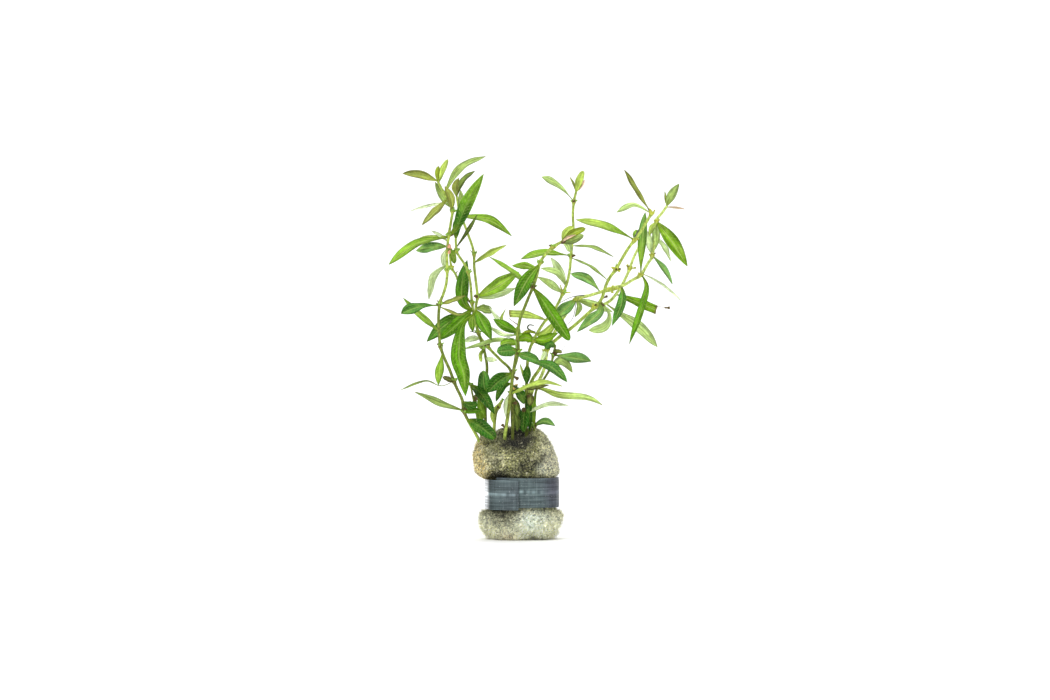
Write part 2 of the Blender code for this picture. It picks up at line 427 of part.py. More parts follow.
def curve_point(points, segment, share):
    """The point at that share of a segment of the Catmull-Rom curve through the points."""
    before = points[max(segment - 1, 0)]
    start = points[segment]
    end = points[segment + 1]
    after = points[min(segment + 2, len(points) - 1)]
    bend = 2 * before - 5 * start + 4 * end - after
    turn = 3 * (start - end) + after - before
    return start + 0.5 * share * ((end - before) + share * (bend + share * turn))


def smooth_route(points, step):
    """Points at most one step apart along the smooth curve through the points, which it keeps."""
    route = []
    for segment in range(len(points) - 1):
        length = (points[segment + 1] - points[segment]).length
        pieces = max(1, math.ceil(length / step))
        route += [curve_point(points, segment, i / pieces) for i in range(pieces)]
    return route + [points[-1]]


def stem_radius(stem, share, height):
    """The radius at that share of the stem's length, wider where leaves sit."""
    radius = stem.radius * (1 - (1 - STEM_TAPER) * share)
    at_node = any(abs(height - node) < NODE_REACH for node in stem.nodes)
    return radius * (NODE_SWELL if at_node else 1.0)


def tube_mesh(name, route, radii):
    """A closed tube mesh along a route in millimetres."""
    curve = bpy.data.curves.new(name, "CURVE")
    curve.dimensions = "3D"
    curve.bevel_depth = MM
    curve.bevel_resolution = STEM_SIDES_RESOLUTION
    curve.use_fill_caps = True
    spline = curve.splines.new("POLY")
    spline.points.add(len(route) - 1)
    for point, place, radius in zip(spline.points, route, radii):
        point.co = (*(place * MM), 1.0)
        point.radius = radius
    holder = bpy.data.objects.new(name, curve)
    bpy.context.scene.collection.objects.link(holder)
    graph = bpy.context.evaluated_depsgraph_get()
    mesh = bpy.data.meshes.new_from_object(holder.evaluated_get(graph))
    bpy.data.objects.remove(holder)
    welded = bmesh.new()
    welded.from_mesh(mesh)
    bmesh.ops.remove_doubles(welded, verts=welded.verts, dist=WELD_DISTANCE)
    bmesh.ops.recalc_face_normals(welded, faces=welded.faces)
    welded.to_mesh(mesh)
    welded.free()
    return mesh


def stem_route(stem):
    """The stem's points and its radius at each of them."""
    route = smooth_route([Vector(point) for point in stem.path], STEM_STEP)
    last = len(route) - 1
    radii = [stem_radius(stem, i / last, point.z) for i, point in enumerate(route)]
    return route, radii


def root_on_stem(stem, place):
    """The point of the stem's middle line nearest to a place given in X and Z."""
    route = stem_route(stem)[0]
    best = None
    for i in range(len(route) - 1):
        start, end = route[i], route[i + 1]
        along = Vector((end.x - start.x, end.z - start.z))
        offset = Vector((place[0] - start.x, place[1] - start.z))
        share = min(1.0, max(0.0, offset.dot(along) / along.length_squared))
        distance = (offset - share * along).length
        if best is None or distance < best[0]:
            best = (distance, start.lerp(end, share))
    return best[1]


def leaf_route(leaf, root):
    """A leaf's middle line from its root to its tip, as closely spaced points."""
    flat = [Vector((x, 0.0, z)) for x, z in leaf.route]
    flat[0] = Vector((root.x, 0.0, root.z))
    route = smooth_route(flat, LEAF_ROUTE_STEP)
    lengths = [0.0]
    for i in range(1, len(route)):
        lengths.append(lengths[-1] + (route[i] - route[i - 1]).length)
    middle, tip = leaf.depths
    for point, length in zip(route, lengths):
        share = length / lengths[-1]
        point.y = root.y + 4 * middle * share * (1 - share) + tip * share * (2 * share - 1)
    return route


def point_at(route, distance):
    """The point that far along a route, and the direction there."""
    for i in range(len(route) - 1):
        step = route[i + 1] - route[i]
        if distance <= step.length or i == len(route) - 2:
            return route[i] + step.normalized() * distance, step.normalized()
        distance -= step.length


def clear_start(leaf, route, stem):
    """How far along its route a leaf is clear of its stem."""
    middle_line, radii = stem_route(stem)
    clearance = GAP + 0.5 * LEAF_THICKNESS + 0.5 * LEAF_BASE_SHARE * leaf.width
    start = 0.0
    for before, point in zip(route, route[1:]):
        start += (point - before).length
        nearest = min(
            (point - closest_point(point, middle_line[i], middle_line[i + 1])).length
            - max(radii[i], radii[i + 1])
            for i in range(len(middle_line) - 1)
        )
        if nearest > clearance:
            break
    return start


def closest_point(point, start, end):
    """The point nearest to a point on the straight stretch from start to end."""
    place, share = geometry.intersect_point_line(point, start, end)
    if share < 0:
        return start
    if share > 1:
        return end
    return place


def width_share(shape, share):
    """How wide a leaf is at that share of its length, as a share of its full width."""
    if shape in LEAF_SKEWS:
        wave = math.sin(math.pi * share ** LEAF_SKEWS[shape]) if 0 < share < 1 else 0.0
        swell = wave ** LEAF_FULLNESS
    elif shape == "blunt":
        tip = max(0.0, 1 - share ** BLUNT_TIP_POWER) ** 0.5
        swell = min(1.0, share / BLUNT_FULL_FROM) ** BLUNT_FULLNESS * tip
    else:
        swell = min(1.0, share / CUT_FULL_FROM) ** CUT_FULLNESS
    least = LEAF_BASE_SHARE + (LEAF_TIP_SHARE - LEAF_BASE_SHARE) * share
    return max(least, swell)


def leaf_mesh(name, leaf, route, start, cells_across, most_cells):
    """A leaf's open surface: a grid laid along its middle line and folded a little along it."""
    length = sum((route[i + 1] - route[i]).length for i in range(len(route) - 1))
    cells_along = most_cells if length > (most_cells - 0.5) * LEAF_CELL_LENGTH else most_cells - 1
    tilt = math.radians(leaf.tilt)
    rise = math.copysign(math.sin(tilt), leaf.tilt * (route[-1] - route[0]).cross(TO_VIEWER).z)
    grid = bmesh.new()
    bmesh.ops.create_grid(grid, x_segments=cells_across, y_segments=cells_along, size=0.5)
    for vert in grid.verts:
        across = 2 * vert.co.x
        share = vert.co.y + 0.5
        place, along = point_at(route, start + share * (length - start))
        level = along.cross(TO_VIEWER).normalized()
        face = level.cross(along) * math.cos(tilt) + level * rise
        side = along.cross(face)
        half = 0.5 * leaf.width / math.cos(tilt) * width_share(leaf.shape, share)
        vert.co = (place + side * across * half + face * abs(across) * half * LEAF_FOLD) * MM
    mesh = bpy.data.meshes.new(name)
    grid.to_mesh(mesh)
    grid.free()
    return mesh


def add_leaf(name, leaf, stem, collection, grown):
    """A leaf as a thin solid, clear of its stem, or starting inside it where it is grown in one with it."""
    route = leaf_route(leaf, root_on_stem(stem, leaf.route[0]))
    if grown:
        mesh = leaf_mesh(name, leaf, route, 0.0, 1, SMALL_LEAF_CELLS_ALONG)
    else:
        mesh = leaf_mesh(name, leaf, route, clear_start(leaf, route, stem), 2, LEAF_CELLS_ALONG)
    made = add_object(name, mesh, collection, leaf.colour)
    shell = made.modifiers.new("thickness", "SOLIDIFY")
    shell.thickness = LEAF_THICKNESS * MM
    shell.offset = 0.0
    return made


def add_stem(name, stem, leaves, parts, guides):
    """A stem with the leaves that are grown in one with it."""
    route, radii = stem_route(stem)
    made = add_object(name + "_stem", tube_mesh(name, route, radii), parts, stem.colour)
    for number, leaf in enumerate(leaves, 1):
        helper = add_leaf(f"{name}_grown_{number}", leaf, stem, guides, True)
        as_guide(helper)
        add_boolean(made, helper, "UNION")
    add_weld(made)
    return made


def oval_point(centre, half_width, half_depth, degrees):
    """A point of a rounded oval, at that angle round it, as X and Y."""
    turn = math.radians(degrees)
    power = 2 / FOAM_SQUARENESS
    x = math.copysign(abs(math.cos(turn)) ** power, math.cos(turn))
    y = math.copysign(abs(math.sin(turn)) ** power, math.sin(turn))
    return centre + half_width * x, half_depth * y


def hill(x, y, centre, reach):
    """The height of a smooth hill of height 1 round a centre."""
    return math.exp(-((x - centre[0]) / reach[0]) ** 2 - ((y - centre[1]) / reach[1]) ** 2)


def ramp(low, high, value):
    """0 below low, 1 above high, and a straight rise between them."""
    return min(1.0, max(0.0, (value - low) / (high - low)))


def foam_offset(x, y, height):
    """How far the plug lies above or below its ring: lobes and a dip on top, a sag at the left."""
    lobe = FOAM_LOBE_HEIGHT * hill(x, y, FOAM_LOBE_CENTRE, FOAM_LOBE_REACH)
    back = FOAM_BACK_HEIGHT * hill(x, y, FOAM_BACK_CENTRE, FOAM_BACK_REACH)
    dip = FOAM_DIP_DEPTH * hill(x, y, FOAM_DIP_CENTRE, FOAM_DIP_REACH)
    top = ramp(FOAM_RIM_FROM, FOAM_RIM_FROM + FOAM_RIM_REACH, height) * (lobe + back - dip)
    low, full, fading, end = FOAM_SAG_HEIGHTS
    sag = ramp(low, full, height) * (1 - ramp(fading, end, height)) * ramp(*FOAM_SAG_LEFT, -x)
    return top - FOAM_SAG_DEPTH * sag


def add_foam(parts, guides):
    """The plug: rings round its stack of turns, flat below, with a hole for each stem."""
    mesh_builder = bmesh.new()
    rings = []
    for height, left, right, half_depth in FOAM_RINGS:
        ring = []
        for i in range(FOAM_POINTS_ROUND):
            degrees = 360 * i / FOAM_POINTS_ROUND
            x, y = oval_point(0.5 * (left + right), 0.5 * (right - left), half_depth, degrees)
            z = height + foam_offset(x, y, height)
            ring.append(mesh_builder.verts.new(Vector((x, y, z)) * MM))
        rings.append(ring)
    for lower, upper in zip(rings, rings[1:]):
        for i in range(FOAM_POINTS_ROUND):
            after = (i + 1) % FOAM_POINTS_ROUND
            mesh_builder.faces.new((lower[i], lower[after], upper[after], upper[i]))
    mesh_builder.faces.new(reversed(rings[0]))
    bottom_of_dish = sum((vert.co for vert in rings[-1]), Vector()) / FOAM_POINTS_ROUND
    middle = mesh_builder.verts.new(bottom_of_dish)
    for i in range(FOAM_POINTS_ROUND):
        mesh_builder.faces.new((rings[-1][i], rings[-1][(i + 1) % FOAM_POINTS_ROUND], middle))
    mesh = bpy.data.meshes.new("foam_plug")
    mesh_builder.to_mesh(mesh)
    mesh_builder.free()
    plug = add_object("foam_plug", mesh, parts, "foam")
    for name, stem in STEMS.items():
        if stem.path[0][2] < FOAM_TOP:
            add_boolean(plug, stem_hole(name, stem, guides), "DIFFERENCE")
    add_boolean(plug, foam_seam(guides), "DIFFERENCE")
    add_weld(plug)
    return plug


def foam_seam(guides):
    """A square bar on its edge, which cuts the seam between two turns across the plug's foot."""
    bar = bmesh.new()
    bmesh.ops.create_cube(bar, size=1.0)
    size = Matrix.Diagonal((FOAM_SEAM_SIZE * MM, FOAM_SEAM_LENGTH * MM, FOAM_SEAM_SIZE * MM, 1.0))
    turn = Matrix.Rotation(math.radians(45), 4, "Y")
    place = Matrix.Translation((FOAM_SEAM_X * MM, 0, 0))
    bar.transform(place @ turn @ size)
    mesh = bpy.data.meshes.new("foam_seam")
    bar.to_mesh(mesh)
    bar.free()
    seam = add_object("foam_seam", mesh, guides, "foam")
    as_guide(seam)
    return seam


def stem_hole(name, stem, guides):
    """A wider copy of the stem's foot, which cuts its hole in the plug."""
    route, radii = stem_route(stem)
    count = 1 + sum(1 for point in route if point.z < FOAM_TOP)
    points = route[:count]
    down = (points[0] - points[1]).normalized()
    points[0] = points[0] + down * GAP
    mesh = tube_mesh(name + "_hole", points, [radius + HOLE_CLEARANCE for radius in radii[:count]])
    hole = add_object(name + "_hole", mesh, guides, "foam")
    as_guide(hole)
    return hole


def add_band(parts):
    """The lead strip: once round the plug's waist, its last stretch over its first."""
    strip = bmesh.new()
    bmesh.ops.create_grid(strip, x_segments=BAND_SEGMENTS, y_segments=1, size=0.5)
    whole_turn = 360 + BAND_OVERLAP_DEGREES
    for vert in strip.verts:
        share = vert.co.x + 0.5
        degrees = BAND_END_DEGREES - BAND_OVERLAP_DEGREES + whole_turn * share
        lap_end = BAND_LAP_FROM_DEGREES + BAND_LAP_REACH_DEGREES
        outward = ramp(BAND_LAP_FROM_DEGREES, lap_end, whole_turn * share) * (BAND_THICKNESS + GAP)
        half_width = BAND_HALF_WIDTH + outward
        half_depth = BAND_HALF_DEPTH + outward
        x, y = oval_point(BAND_CENTRE_X, half_width, half_depth, degrees)
        z = BAND_BOTTOM + BAND_RISE * (1 - share) + BAND_HEIGHT * (vert.co.y + 0.5)
        vert.co = Vector((x, y, z)) * MM
    mesh = bpy.data.meshes.new("lead_band")
    strip.to_mesh(mesh)
    strip.free()
    band = add_object("lead_band", mesh, parts, "lead")
    shell = band.modifiers.new("thickness", "SOLIDIFY")
    shell.thickness = BAND_THICKNESS * MM
    shell.offset = 0.0
    return band


def new_collection(name):
    """An empty collection in the scene."""
    made = bpy.data.collections.new(name)
    bpy.context.scene.collection.children.link(made)
    return made


def build():
    """The whole bunch."""
    for existing in list(bpy.data.objects):
        bpy.data.objects.remove(existing)
    parts = new_collection("rotala_bunch")
    guides = new_collection("cutters")
    add_foam(parts, guides)
    add_band(parts)
    for name, stem in STEMS.items():
        add_stem(name, stem, GROWN_LEAVES[name], parts, guides)
        for number, leaf in enumerate(LEAVES.get(name, ()), 1):
            add_leaf(f"{name}_leaf_{number}", leaf, stem, parts, False)


build()
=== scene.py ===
"""Looks of a bunch of rotala: rooted stems, narrow leaves, a foam plug and a lead strip round it.

Lengths in the tables are millimetres. X is to the right, Y is away from the viewer, Z is up, and the
origin is the centre of the plug's flat foot.
"""
import math
import random
from collections import namedtuple

import bpy
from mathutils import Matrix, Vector, noise


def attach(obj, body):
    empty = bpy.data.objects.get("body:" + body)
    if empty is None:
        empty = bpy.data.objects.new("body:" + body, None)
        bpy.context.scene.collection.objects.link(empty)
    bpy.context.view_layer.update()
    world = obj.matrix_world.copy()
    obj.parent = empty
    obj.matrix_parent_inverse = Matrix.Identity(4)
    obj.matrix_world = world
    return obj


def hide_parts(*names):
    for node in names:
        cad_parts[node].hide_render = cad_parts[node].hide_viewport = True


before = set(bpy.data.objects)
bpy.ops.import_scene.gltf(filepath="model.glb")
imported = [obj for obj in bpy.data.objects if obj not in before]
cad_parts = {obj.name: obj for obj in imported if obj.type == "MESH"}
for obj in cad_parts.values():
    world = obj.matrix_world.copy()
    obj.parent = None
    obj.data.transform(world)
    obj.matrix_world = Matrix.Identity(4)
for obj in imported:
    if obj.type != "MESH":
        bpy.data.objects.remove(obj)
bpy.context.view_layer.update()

MM = 0.001
TO_VIEWER = Vector((0, -1, 0))

STEM_STEP = 0.45
STEM_SIDES = 14
STEM_TAPER = 0.75
NODE_SWELL = 0.7
NODE_HALF_LENGTH = 0.9
STEM_UNEVENNESS = 0.05
STEM_UNEVEN_SCALE = 0.35
STEM_TIP_SHARE = 0.5
TWIG_SIDES = 8
BUD_COUNT = 5
BUD_RADIUS = (0.42, 0.75)
BUD_LENGTH = (0.9, 1.9)
BUD_FIRST_DEGREES = (0, 90)
BUD_ROOT_SHARE = 0.5
BUD_RISE = (0.2, 0.9)
BUD_START = (-0.5, 0.3)
BUD_SPREAD_DEGREES = 25
BROWN_BUD_SHARES = {"olive": 0.2, "light": 0.06}
BUD_FOOT = 0.12
BUD_FULLNESS = 0.8
BUD_TIP_SHARE = 0.15
KNOB_NECK = 0.55
KNOB_SWELL = 0.45
KNOB_SWELL_FROM = (0.45, 0.85)
KNOB_ROUNDING = 0.5
KNOB_ROUNDING_FROM = (0.9, 1.0)
THREAD_TAPER = 0.6
TWIG_STEP = 0.2

LEAF_STEP = 0.6
LEAF_ACROSS = (-1.0, -0.94, -0.76, -0.52, -0.28, -0.1, 0.0, 0.1, 0.28, 0.52, 0.76, 0.94, 1.0)
LEAF_THICKNESS = 0.24
LEAF_FOLD = 0.3
LEAF_FOLD_ROUNDING = 0.1
LEAF_CROWN = 0.12
LEAF_BASE_SHARE = 0.13
LEAF_TIP_SHARE = 0.03
LEAF_WAVE = 0.22
LEAF_TWIST_DEGREES = 14.0
LEAF_TWIST_CENTRE = 0.4
LEAF_LEAST_ROWS = 8
LEAF_WAVE_SLANT = 1.5
# How one leaf differs from the next, each drawn from these.
# Gains for painted light on one half of each leaf and painted shade on the other.
LIT_HALF_GAINS = (-0.24, -0.14, 0.14, 0.24)
LEAF_GAINS = (0.84, 1.16)
LEAF_WAVES = (1.2, 2.6)
BROWN_TIP_SHARES = (0.0, 0.25, 0.6)
LEAF_NOISE_REACH = 50
LEAF_SKEWS = {"pointed": 1.05, "stalked": 1.5, "spoon": 2.2}
LEAF_FULLNESS = 0.85
BLUNT_FULL_FROM = 0.45
BLUNT_FULLNESS = 0.7
BLUNT_TIP_POWER = 5
CUT_FULL_FROM = 0.55
CUT_FULLNESS = 0.8
CURVE_STEP = 0.5

FOAM_POINTS_ROUND = 340
FOAM_ROW_STEP = 0.3
FOAM_SQUARENESS = 2.3
FOAM_RIM_FROM = 34.0
FOAM_RIM_REACH = 5.0
FOAM_LOBE_HEIGHT = 2.2
FOAM_LOBE_CENTRE = (6.0, 3.0)
FOAM_LOBE_REACH = (4.0, 8.0)
FOAM_BACK_HEIGHT = 3.2
FOAM_BACK_CENTRE = (-3.5, 8.0)
FOAM_BACK_REACH = (7.0, 5.5)
FOAM_SAG_DEPTH = 1.4
FOAM_SAG_HEIGHTS = (18.0, 25.4, 27.6, 31.0)
FOAM_SAG_LEFT = (10.0, 14.0)
FOAM_DIP_DEPTH = 1.8
FOAM_DIP_CENTRE = (-2.0, -8.0)
FOAM_DIP_REACH = (6.0, 6.0)
FOAM_SEAM_X = 5.2
FOAM_SEAM_DEPTH = 1.7
FOAM_SEAM_HALF_WIDTH = 2.2
FOAM_SEAM_HEIGHTS = (0.5, 4.5)
FOAM_SWELL = 0.35
CREASE_START = (-12.0, 24.8)
CREASE_RISE = 0.36
CREASE_WAVE = 0.6
CREASE_WAVE_RATE = 0.35
CREASE_HALF_WIDTH = 2.3
CREASE_LEFT = (-14.0, -9.0)
CREASE_RIGHT = (11.0, 15.0)
CREASE_DEPTH = 0.9
PORE_SIZE = 1.0
PORE_DEPTH = 0.5
SMALL_PORE_SIZE = 0.55
SMALL_PORE_DEPTH = 0.25
PORE_WALL = (0.03, 0.5)
LUMP_SIZE = 5.0
LUMP_HEIGHT = 0.55
SMALL_LUMP_SIZE = 2.0
SMALL_LUMP_HEIGHT = 0.3
FIBRE_COUNT = 22000
FIBRE_SIDES = 3
FIBRE_RADIUS = 0.05
FIBRE_LENGTH = (0.5, 1.4)
FIBRE_LOW_STRETCH = 1.5
FIBRE_TIP_SHARE = 0.7
FIBRE_OUTWARD = 0.7
FIBRE_ROOT_DEPTH = 0.15
FIBRE_FREE_HEIGHT = 0.8
FIBRE_FREE_OF_BAND = (0.5, 1.5)
FIBRE_GAINS = (0.6, 1.8)
FIBRE_CREAM_SHARES = (0.0, 0.2)

BAND_CENTRE_X = 1.1
BAND_HALF_WIDTH = 14.3
BAND_HALF_DEPTH = 11.7
BAND_BOTTOM = 12.0
BAND_HEIGHT = 12.0
BAND_THICKNESS = 1.2
BAND_GAP = 0.3
BAND_RISE = 1.1
BAND_OVERLAP_DEGREES = 38.0
BAND_END_DEGREES = -93.0
BAND_LAP_FROM_DEGREES = 336.0
BAND_LAP_REACH_DEGREES = 18.0
BAND_CELLS_ALONG = 420
BAND_CELLS_ACROSS = 20
BAND_DENT = 0.14
# Scales along and across the strip, and the noise's layer.
BAND_DENT_NOISE = ((18, 1.2), 0)
BAND_RIDGE = 0.07
BAND_RIDGE_HALF_WIDTH = 0.03
BAND_EDGE_ROUNDING = 0.22
BAND_EDGE_SEGMENTS = 3
BAND_SHARP_DEGREES = 50.0
BAND_MAP_LENGTH = 90.0

VIEW_CENTRE = (2.4, 0.0, 75.6)
VIEW_WIDTH = 420.0
VIEW_DISTANCE = 2500.0
VIEW_ELEVATION_DEGREES = 1.8
SENSOR_WIDTH = 36.0
VIEW_REACH_METRES = 20.0

# The studio, in metres: the floor's front edge, the bend up to the wall, its top and half its width.
FLOOR_FRONT = -3.0
BEND_START = 1.2
BEND_RADIUS = 0.8
WALL_TOP = 3.5
STUDIO_HALF_WIDTH = 4.0
WORLD_STRENGTH = 0.45
BUNCH_MIDDLE = Vector(VIEW_CENTRE) * MM
# Soft lamps: name, place, what it faces, size and power.
LIGHTS = (
    ("key", (-0.9, -1.4, 1.5), BUNCH_MIDDLE, 0.7, 26.0),
    ("fill", (1.3, -1.2, 0.9), BUNCH_MIDDLE, 1.1, 7.0),
    ("top", (0.1, 0.3, 1.7), BUNCH_MIDDLE, 1.0, 14.0),
    ("wall", (0.0, 0.8, 1.9), (0.0, 2.0, 0.7), 1.2, 16.0),
)

# Each ring of the plug: height, left edge, right edge, half of its depth.
FOAM_RINGS = (
    (0.0, -9.6, 11.4, 9.5),
    (0.7, -11.4, 12.9, 11.2),
    (2.4, -13.4, 14.6, 12.8),
    (5.0, -15.0, 15.8, 14.0),
    (8.2, -15.6, 16.7, 14.6),
    (10.6, -14.6, 16.4, 13.8),
    (11.6, -12.25, 14.45, 10.75),
    (18.0, -12.25, 14.45, 10.75),
    (25.4, -12.25, 14.45, 10.75),
    (26.2, -14.6, 15.2, 13.2),
    (27.6, -16.9, 15.6, 14.5),
    (31.0, -18.0, 15.2, 15.0),
    (34.4, -17.9, 14.0, 14.8),
    (37.2, -17.0, 12.7, 13.6),
    (39.6, -15.6, 11.2, 11.6),
    (41.0, -13.0, 9.0, 9.0),
    (40.6, -10.0, 6.8, 6.8),
    (39.0, -6.4, 4.6, 4.4),
)

Stem = namedtuple("Stem", "colour radius nodes path")

# Stems from their root in the foam, or from their fork, up to their tip.
STEMS = {
    "far_left": Stem("olive", 0.68, (51.5, 63.5, 77.5, 94.5, 108, 122, 131.5), (
        (-12.5, -2, 27), (-14, -2.5, 33.5), (-16.2, -3.4, 40), (-20.3, -5, 47.5), (-22, -6, 51.5),
        (-22.7, -7, 56), (-24.5, -8, 60), (-26, -9, 63.5), (-27.6, -10, 68), (-29.6, -11, 72.5),
        (-31.3, -12, 77.5), (-31.8, -13, 83), (-32, -14, 88), (-31.5, -15, 94.5), (-30, -15.6, 98.5),
        (-28.8, -16, 103), (-28.5, -16.5, 108), (-28.6, -17, 115), (-27.8, -17.4, 122),
        (-27, -17.8, 127), (-26.5, -18, 131.5), (-28.4, -18.6, 136), (-30.6, -19, 140),
        (-32.3, -19, 143.4),
    )),
    "left_back": Stem("olive", 0.66, (77, 94.5, 107, 115.5), (
        (-2.2, 3.5, 26), (-2.4, 4, 38), (-2.8, 5, 50), (-2.8, 6, 62), (-3.6, 6.6, 67.5),
        (-7, 7, 71), (-10, 6.6, 74), (-12.7, 5.6, 77), (-15.6, 4.6, 80.8), (-17.6, 3, 87),
        (-18.8, 0, 94.5), (-19.3, -3, 101.5), (-20.3, -5.5, 107), (-22, -7, 110.5),
        (-24, -8.4, 113.5), (-24.9, -9, 115.5), (-25.2, -10, 120.5),
    )),
    "left_inner": Stem("olive", 0.66, (58.5, 76.5, 82.5, 97, 114, 129), (
        (-11.5, 0.8, 27), (-12.8, 1, 36), (-13.4, 1.6, 47.5), (-13.4, 2, 58.5), (-12.8, 1.5, 68),
        (-13.4, 1, 73), (-14.3, 0.5, 76.5), (-16.2, -0.6, 82.5), (-17.3, -1.2, 87), (-17.2, -2, 93),
        (-16.6, -2.5, 97), (-17.2, -2.2, 103), (-17.9, -0.4, 109), (-18, 1.4, 114), (-19, 3, 118),
        (-20.5, 5, 122), (-22, 7, 126), (-23.6, 8, 129), (-25, 9, 137.2),
    )),
    "left_shoot": Stem("light", 0.55, (108.5,), (
        (-20.3, 1.0, 95.6), (-22.5, 3.2, 98.8), (-24.2, 4, 102.6), (-25.3, 4, 105.6),
        (-27, 2.6, 108.5), (-27.6, 1, 113), (-27.4, 0, 115.8),
    )),
    "left_low": Stem("olive", 0.5, (54, 62), (
        (-12.6, 4.6, 28), (-14.6, 5, 38), (-16.5, 5.4, 47), (-17.9, 4.4, 54), (-19.1, 2.4, 60),
        (-19.5, 1.6, 62.4),
    )),
    "low_shoot": Stem("light", 0.8, (53,), (
        (-9.2, -4, 28), (-9.9, -4, 38), (-9.9, -3.6, 45), (-9.1, -3, 51), (-6.7, -1.6, 55.6),
    )),
    "front": Stem("olive", 0.74, (75, 101, 111, 117), (
        (-6.2, -6, 26), (-6, -7, 38), (-5, -8.6, 46), (-4.1, -9.6, 52), (-3.3, -10.8, 59),
        (-2.4, -12, 66), (-1, -13.5, 75), (-0.8, -14.6, 80), (-0.3, -15.4, 84.5), (0.6, -16.2, 89),
        (2.2, -17, 93), (4, -18, 97.5), (5.5, -19, 101), (6.9, -19.6, 105), (7.6, -20, 108),
        (8.4, -20.6, 111), (10.4, -21, 114), (13.4, -21.6, 117), (17.4, -22, 119.5),
    )),
    "middle": Stem("olive", 0.62, (58, 66.8, 75, 82), (
        (-2.4, -2.6, 26), (-2.6, -3, 38), (-2.4, -3.5, 50), (-3.1, -4.4, 58), (-2.2, -5, 66.8),
        (-0.7, -5.4, 72.4), (-0.1, -6, 77), (-0.8, -6.4, 84),
    )),
    "right_upper": Stem("olive", 0.68, (60.2, 79.5, 98.4, 113.2, 134.8), (
        (2.6, 0.6, 26), (3, 0.8, 38), (2.9, 1, 50), (3, 0.8, 60.2), (3.2, 0.5, 67.6), (4, 0, 74.8),
        (5.8, 0, 79.5), (7.8, -0.5, 83.2), (10.3, -1, 87), (13.1, -1, 89.8), (15.6, -0.6, 94.2),
        (17.6, 0, 98.4), (19.2, 1, 102.4), (20.3, 2.4, 107.6), (20.8, 4, 113.2),
        (21.3, 5.4, 118), (21.8, 6.8, 124), (21.6, 8, 129.6), (22, 8.8, 134.8), (22.9, 9, 138.8),
    )),
    "right_main": Stem("light", 0.78, (74.8, 92.8, 108, 119.6, 130.4), (
        (3.6, 4.6, 26), (4.3, 4.8, 38), (4.5, 5, 48), (4, 5, 58), (5.2, 5.2, 63.2), (8.8, 6.2, 68.8),
        (10.6, 7, 74.8), (13, 7, 77.8), (16.4, 6, 80.8), (20.4, 5, 83.8), (24.4, 4, 87.2),
        (30.4, 2.6, 92.8), (33, 1.2, 96), (34.8, -0.8, 101.6), (36.4, -2.2, 104.8),
        (38.7, -3.6, 108), (41.2, -5.2, 112.4), (43.6, -6.8, 116.4), (46, -8, 119.6),
        (48.8, -9.4, 123.6), (51.4, -10.6, 128), (52.8, -11, 130.4),
    )),
    "right_fork": Stem("light", 0.66, (108,), (
        (32.2, 4.4, 93.6), (34.4, 5, 93.9), (37.2, 5.4, 95.8), (39.6, 6, 98.8), (41.6, 6.8, 102),
        (43.2, 7.6, 105.2), (44.4, 8.4, 108), (46, 9.6, 112.4), (48, 11, 116.4), (49.7, 12, 120.4),
    )),
    "right_back": Stem("light", 0.74, (95.6, 100, 105.6, 113.2, 127), (
        (2, 8, 26), (2.4, 8.4, 38), (2.9, 9.6, 48), (5.4, 11, 59), (8.4, 12, 63.6), (10.4, 13, 68.6),
        (11.2, 14, 74), (13.2, 14.4, 80), (15.7, 13.6, 84.6), (19.4, 11.6, 90.6), (22.8, 9.6, 95.6),
        (28.4, 7.4, 97.3), (33.2, 5.4, 98.8), (37.2, 4.2, 100), (41.6, 3.6, 101.3),
        (45.2, 3.8, 103.4), (48.8, 5, 105.6), (51.6, 7, 110), (53.5, 8.6, 113.2),
        (54.4, 11.4, 119.6), (55.2, 14, 127), (57.6, 15, 130.4), (59.6, 15.6, 133.2),
    )),
    "right_low": Stem("olive", 0.6, (45, 68.4, 73.6), (
        (6, 1.4, 28), (6.2, 1.8, 38), (6.1, 2, 45), (6.5, 2, 57), (7.8, 1.6, 61), (10, 1, 64),
        (12.5, 0.4, 68.4), (13.7, 0, 73.6), (14.6, -0.4, 77.6),
    )),
}

Leaf = namedtuple("Leaf", "colour route depths width tilt shape", defaults=("pointed",))

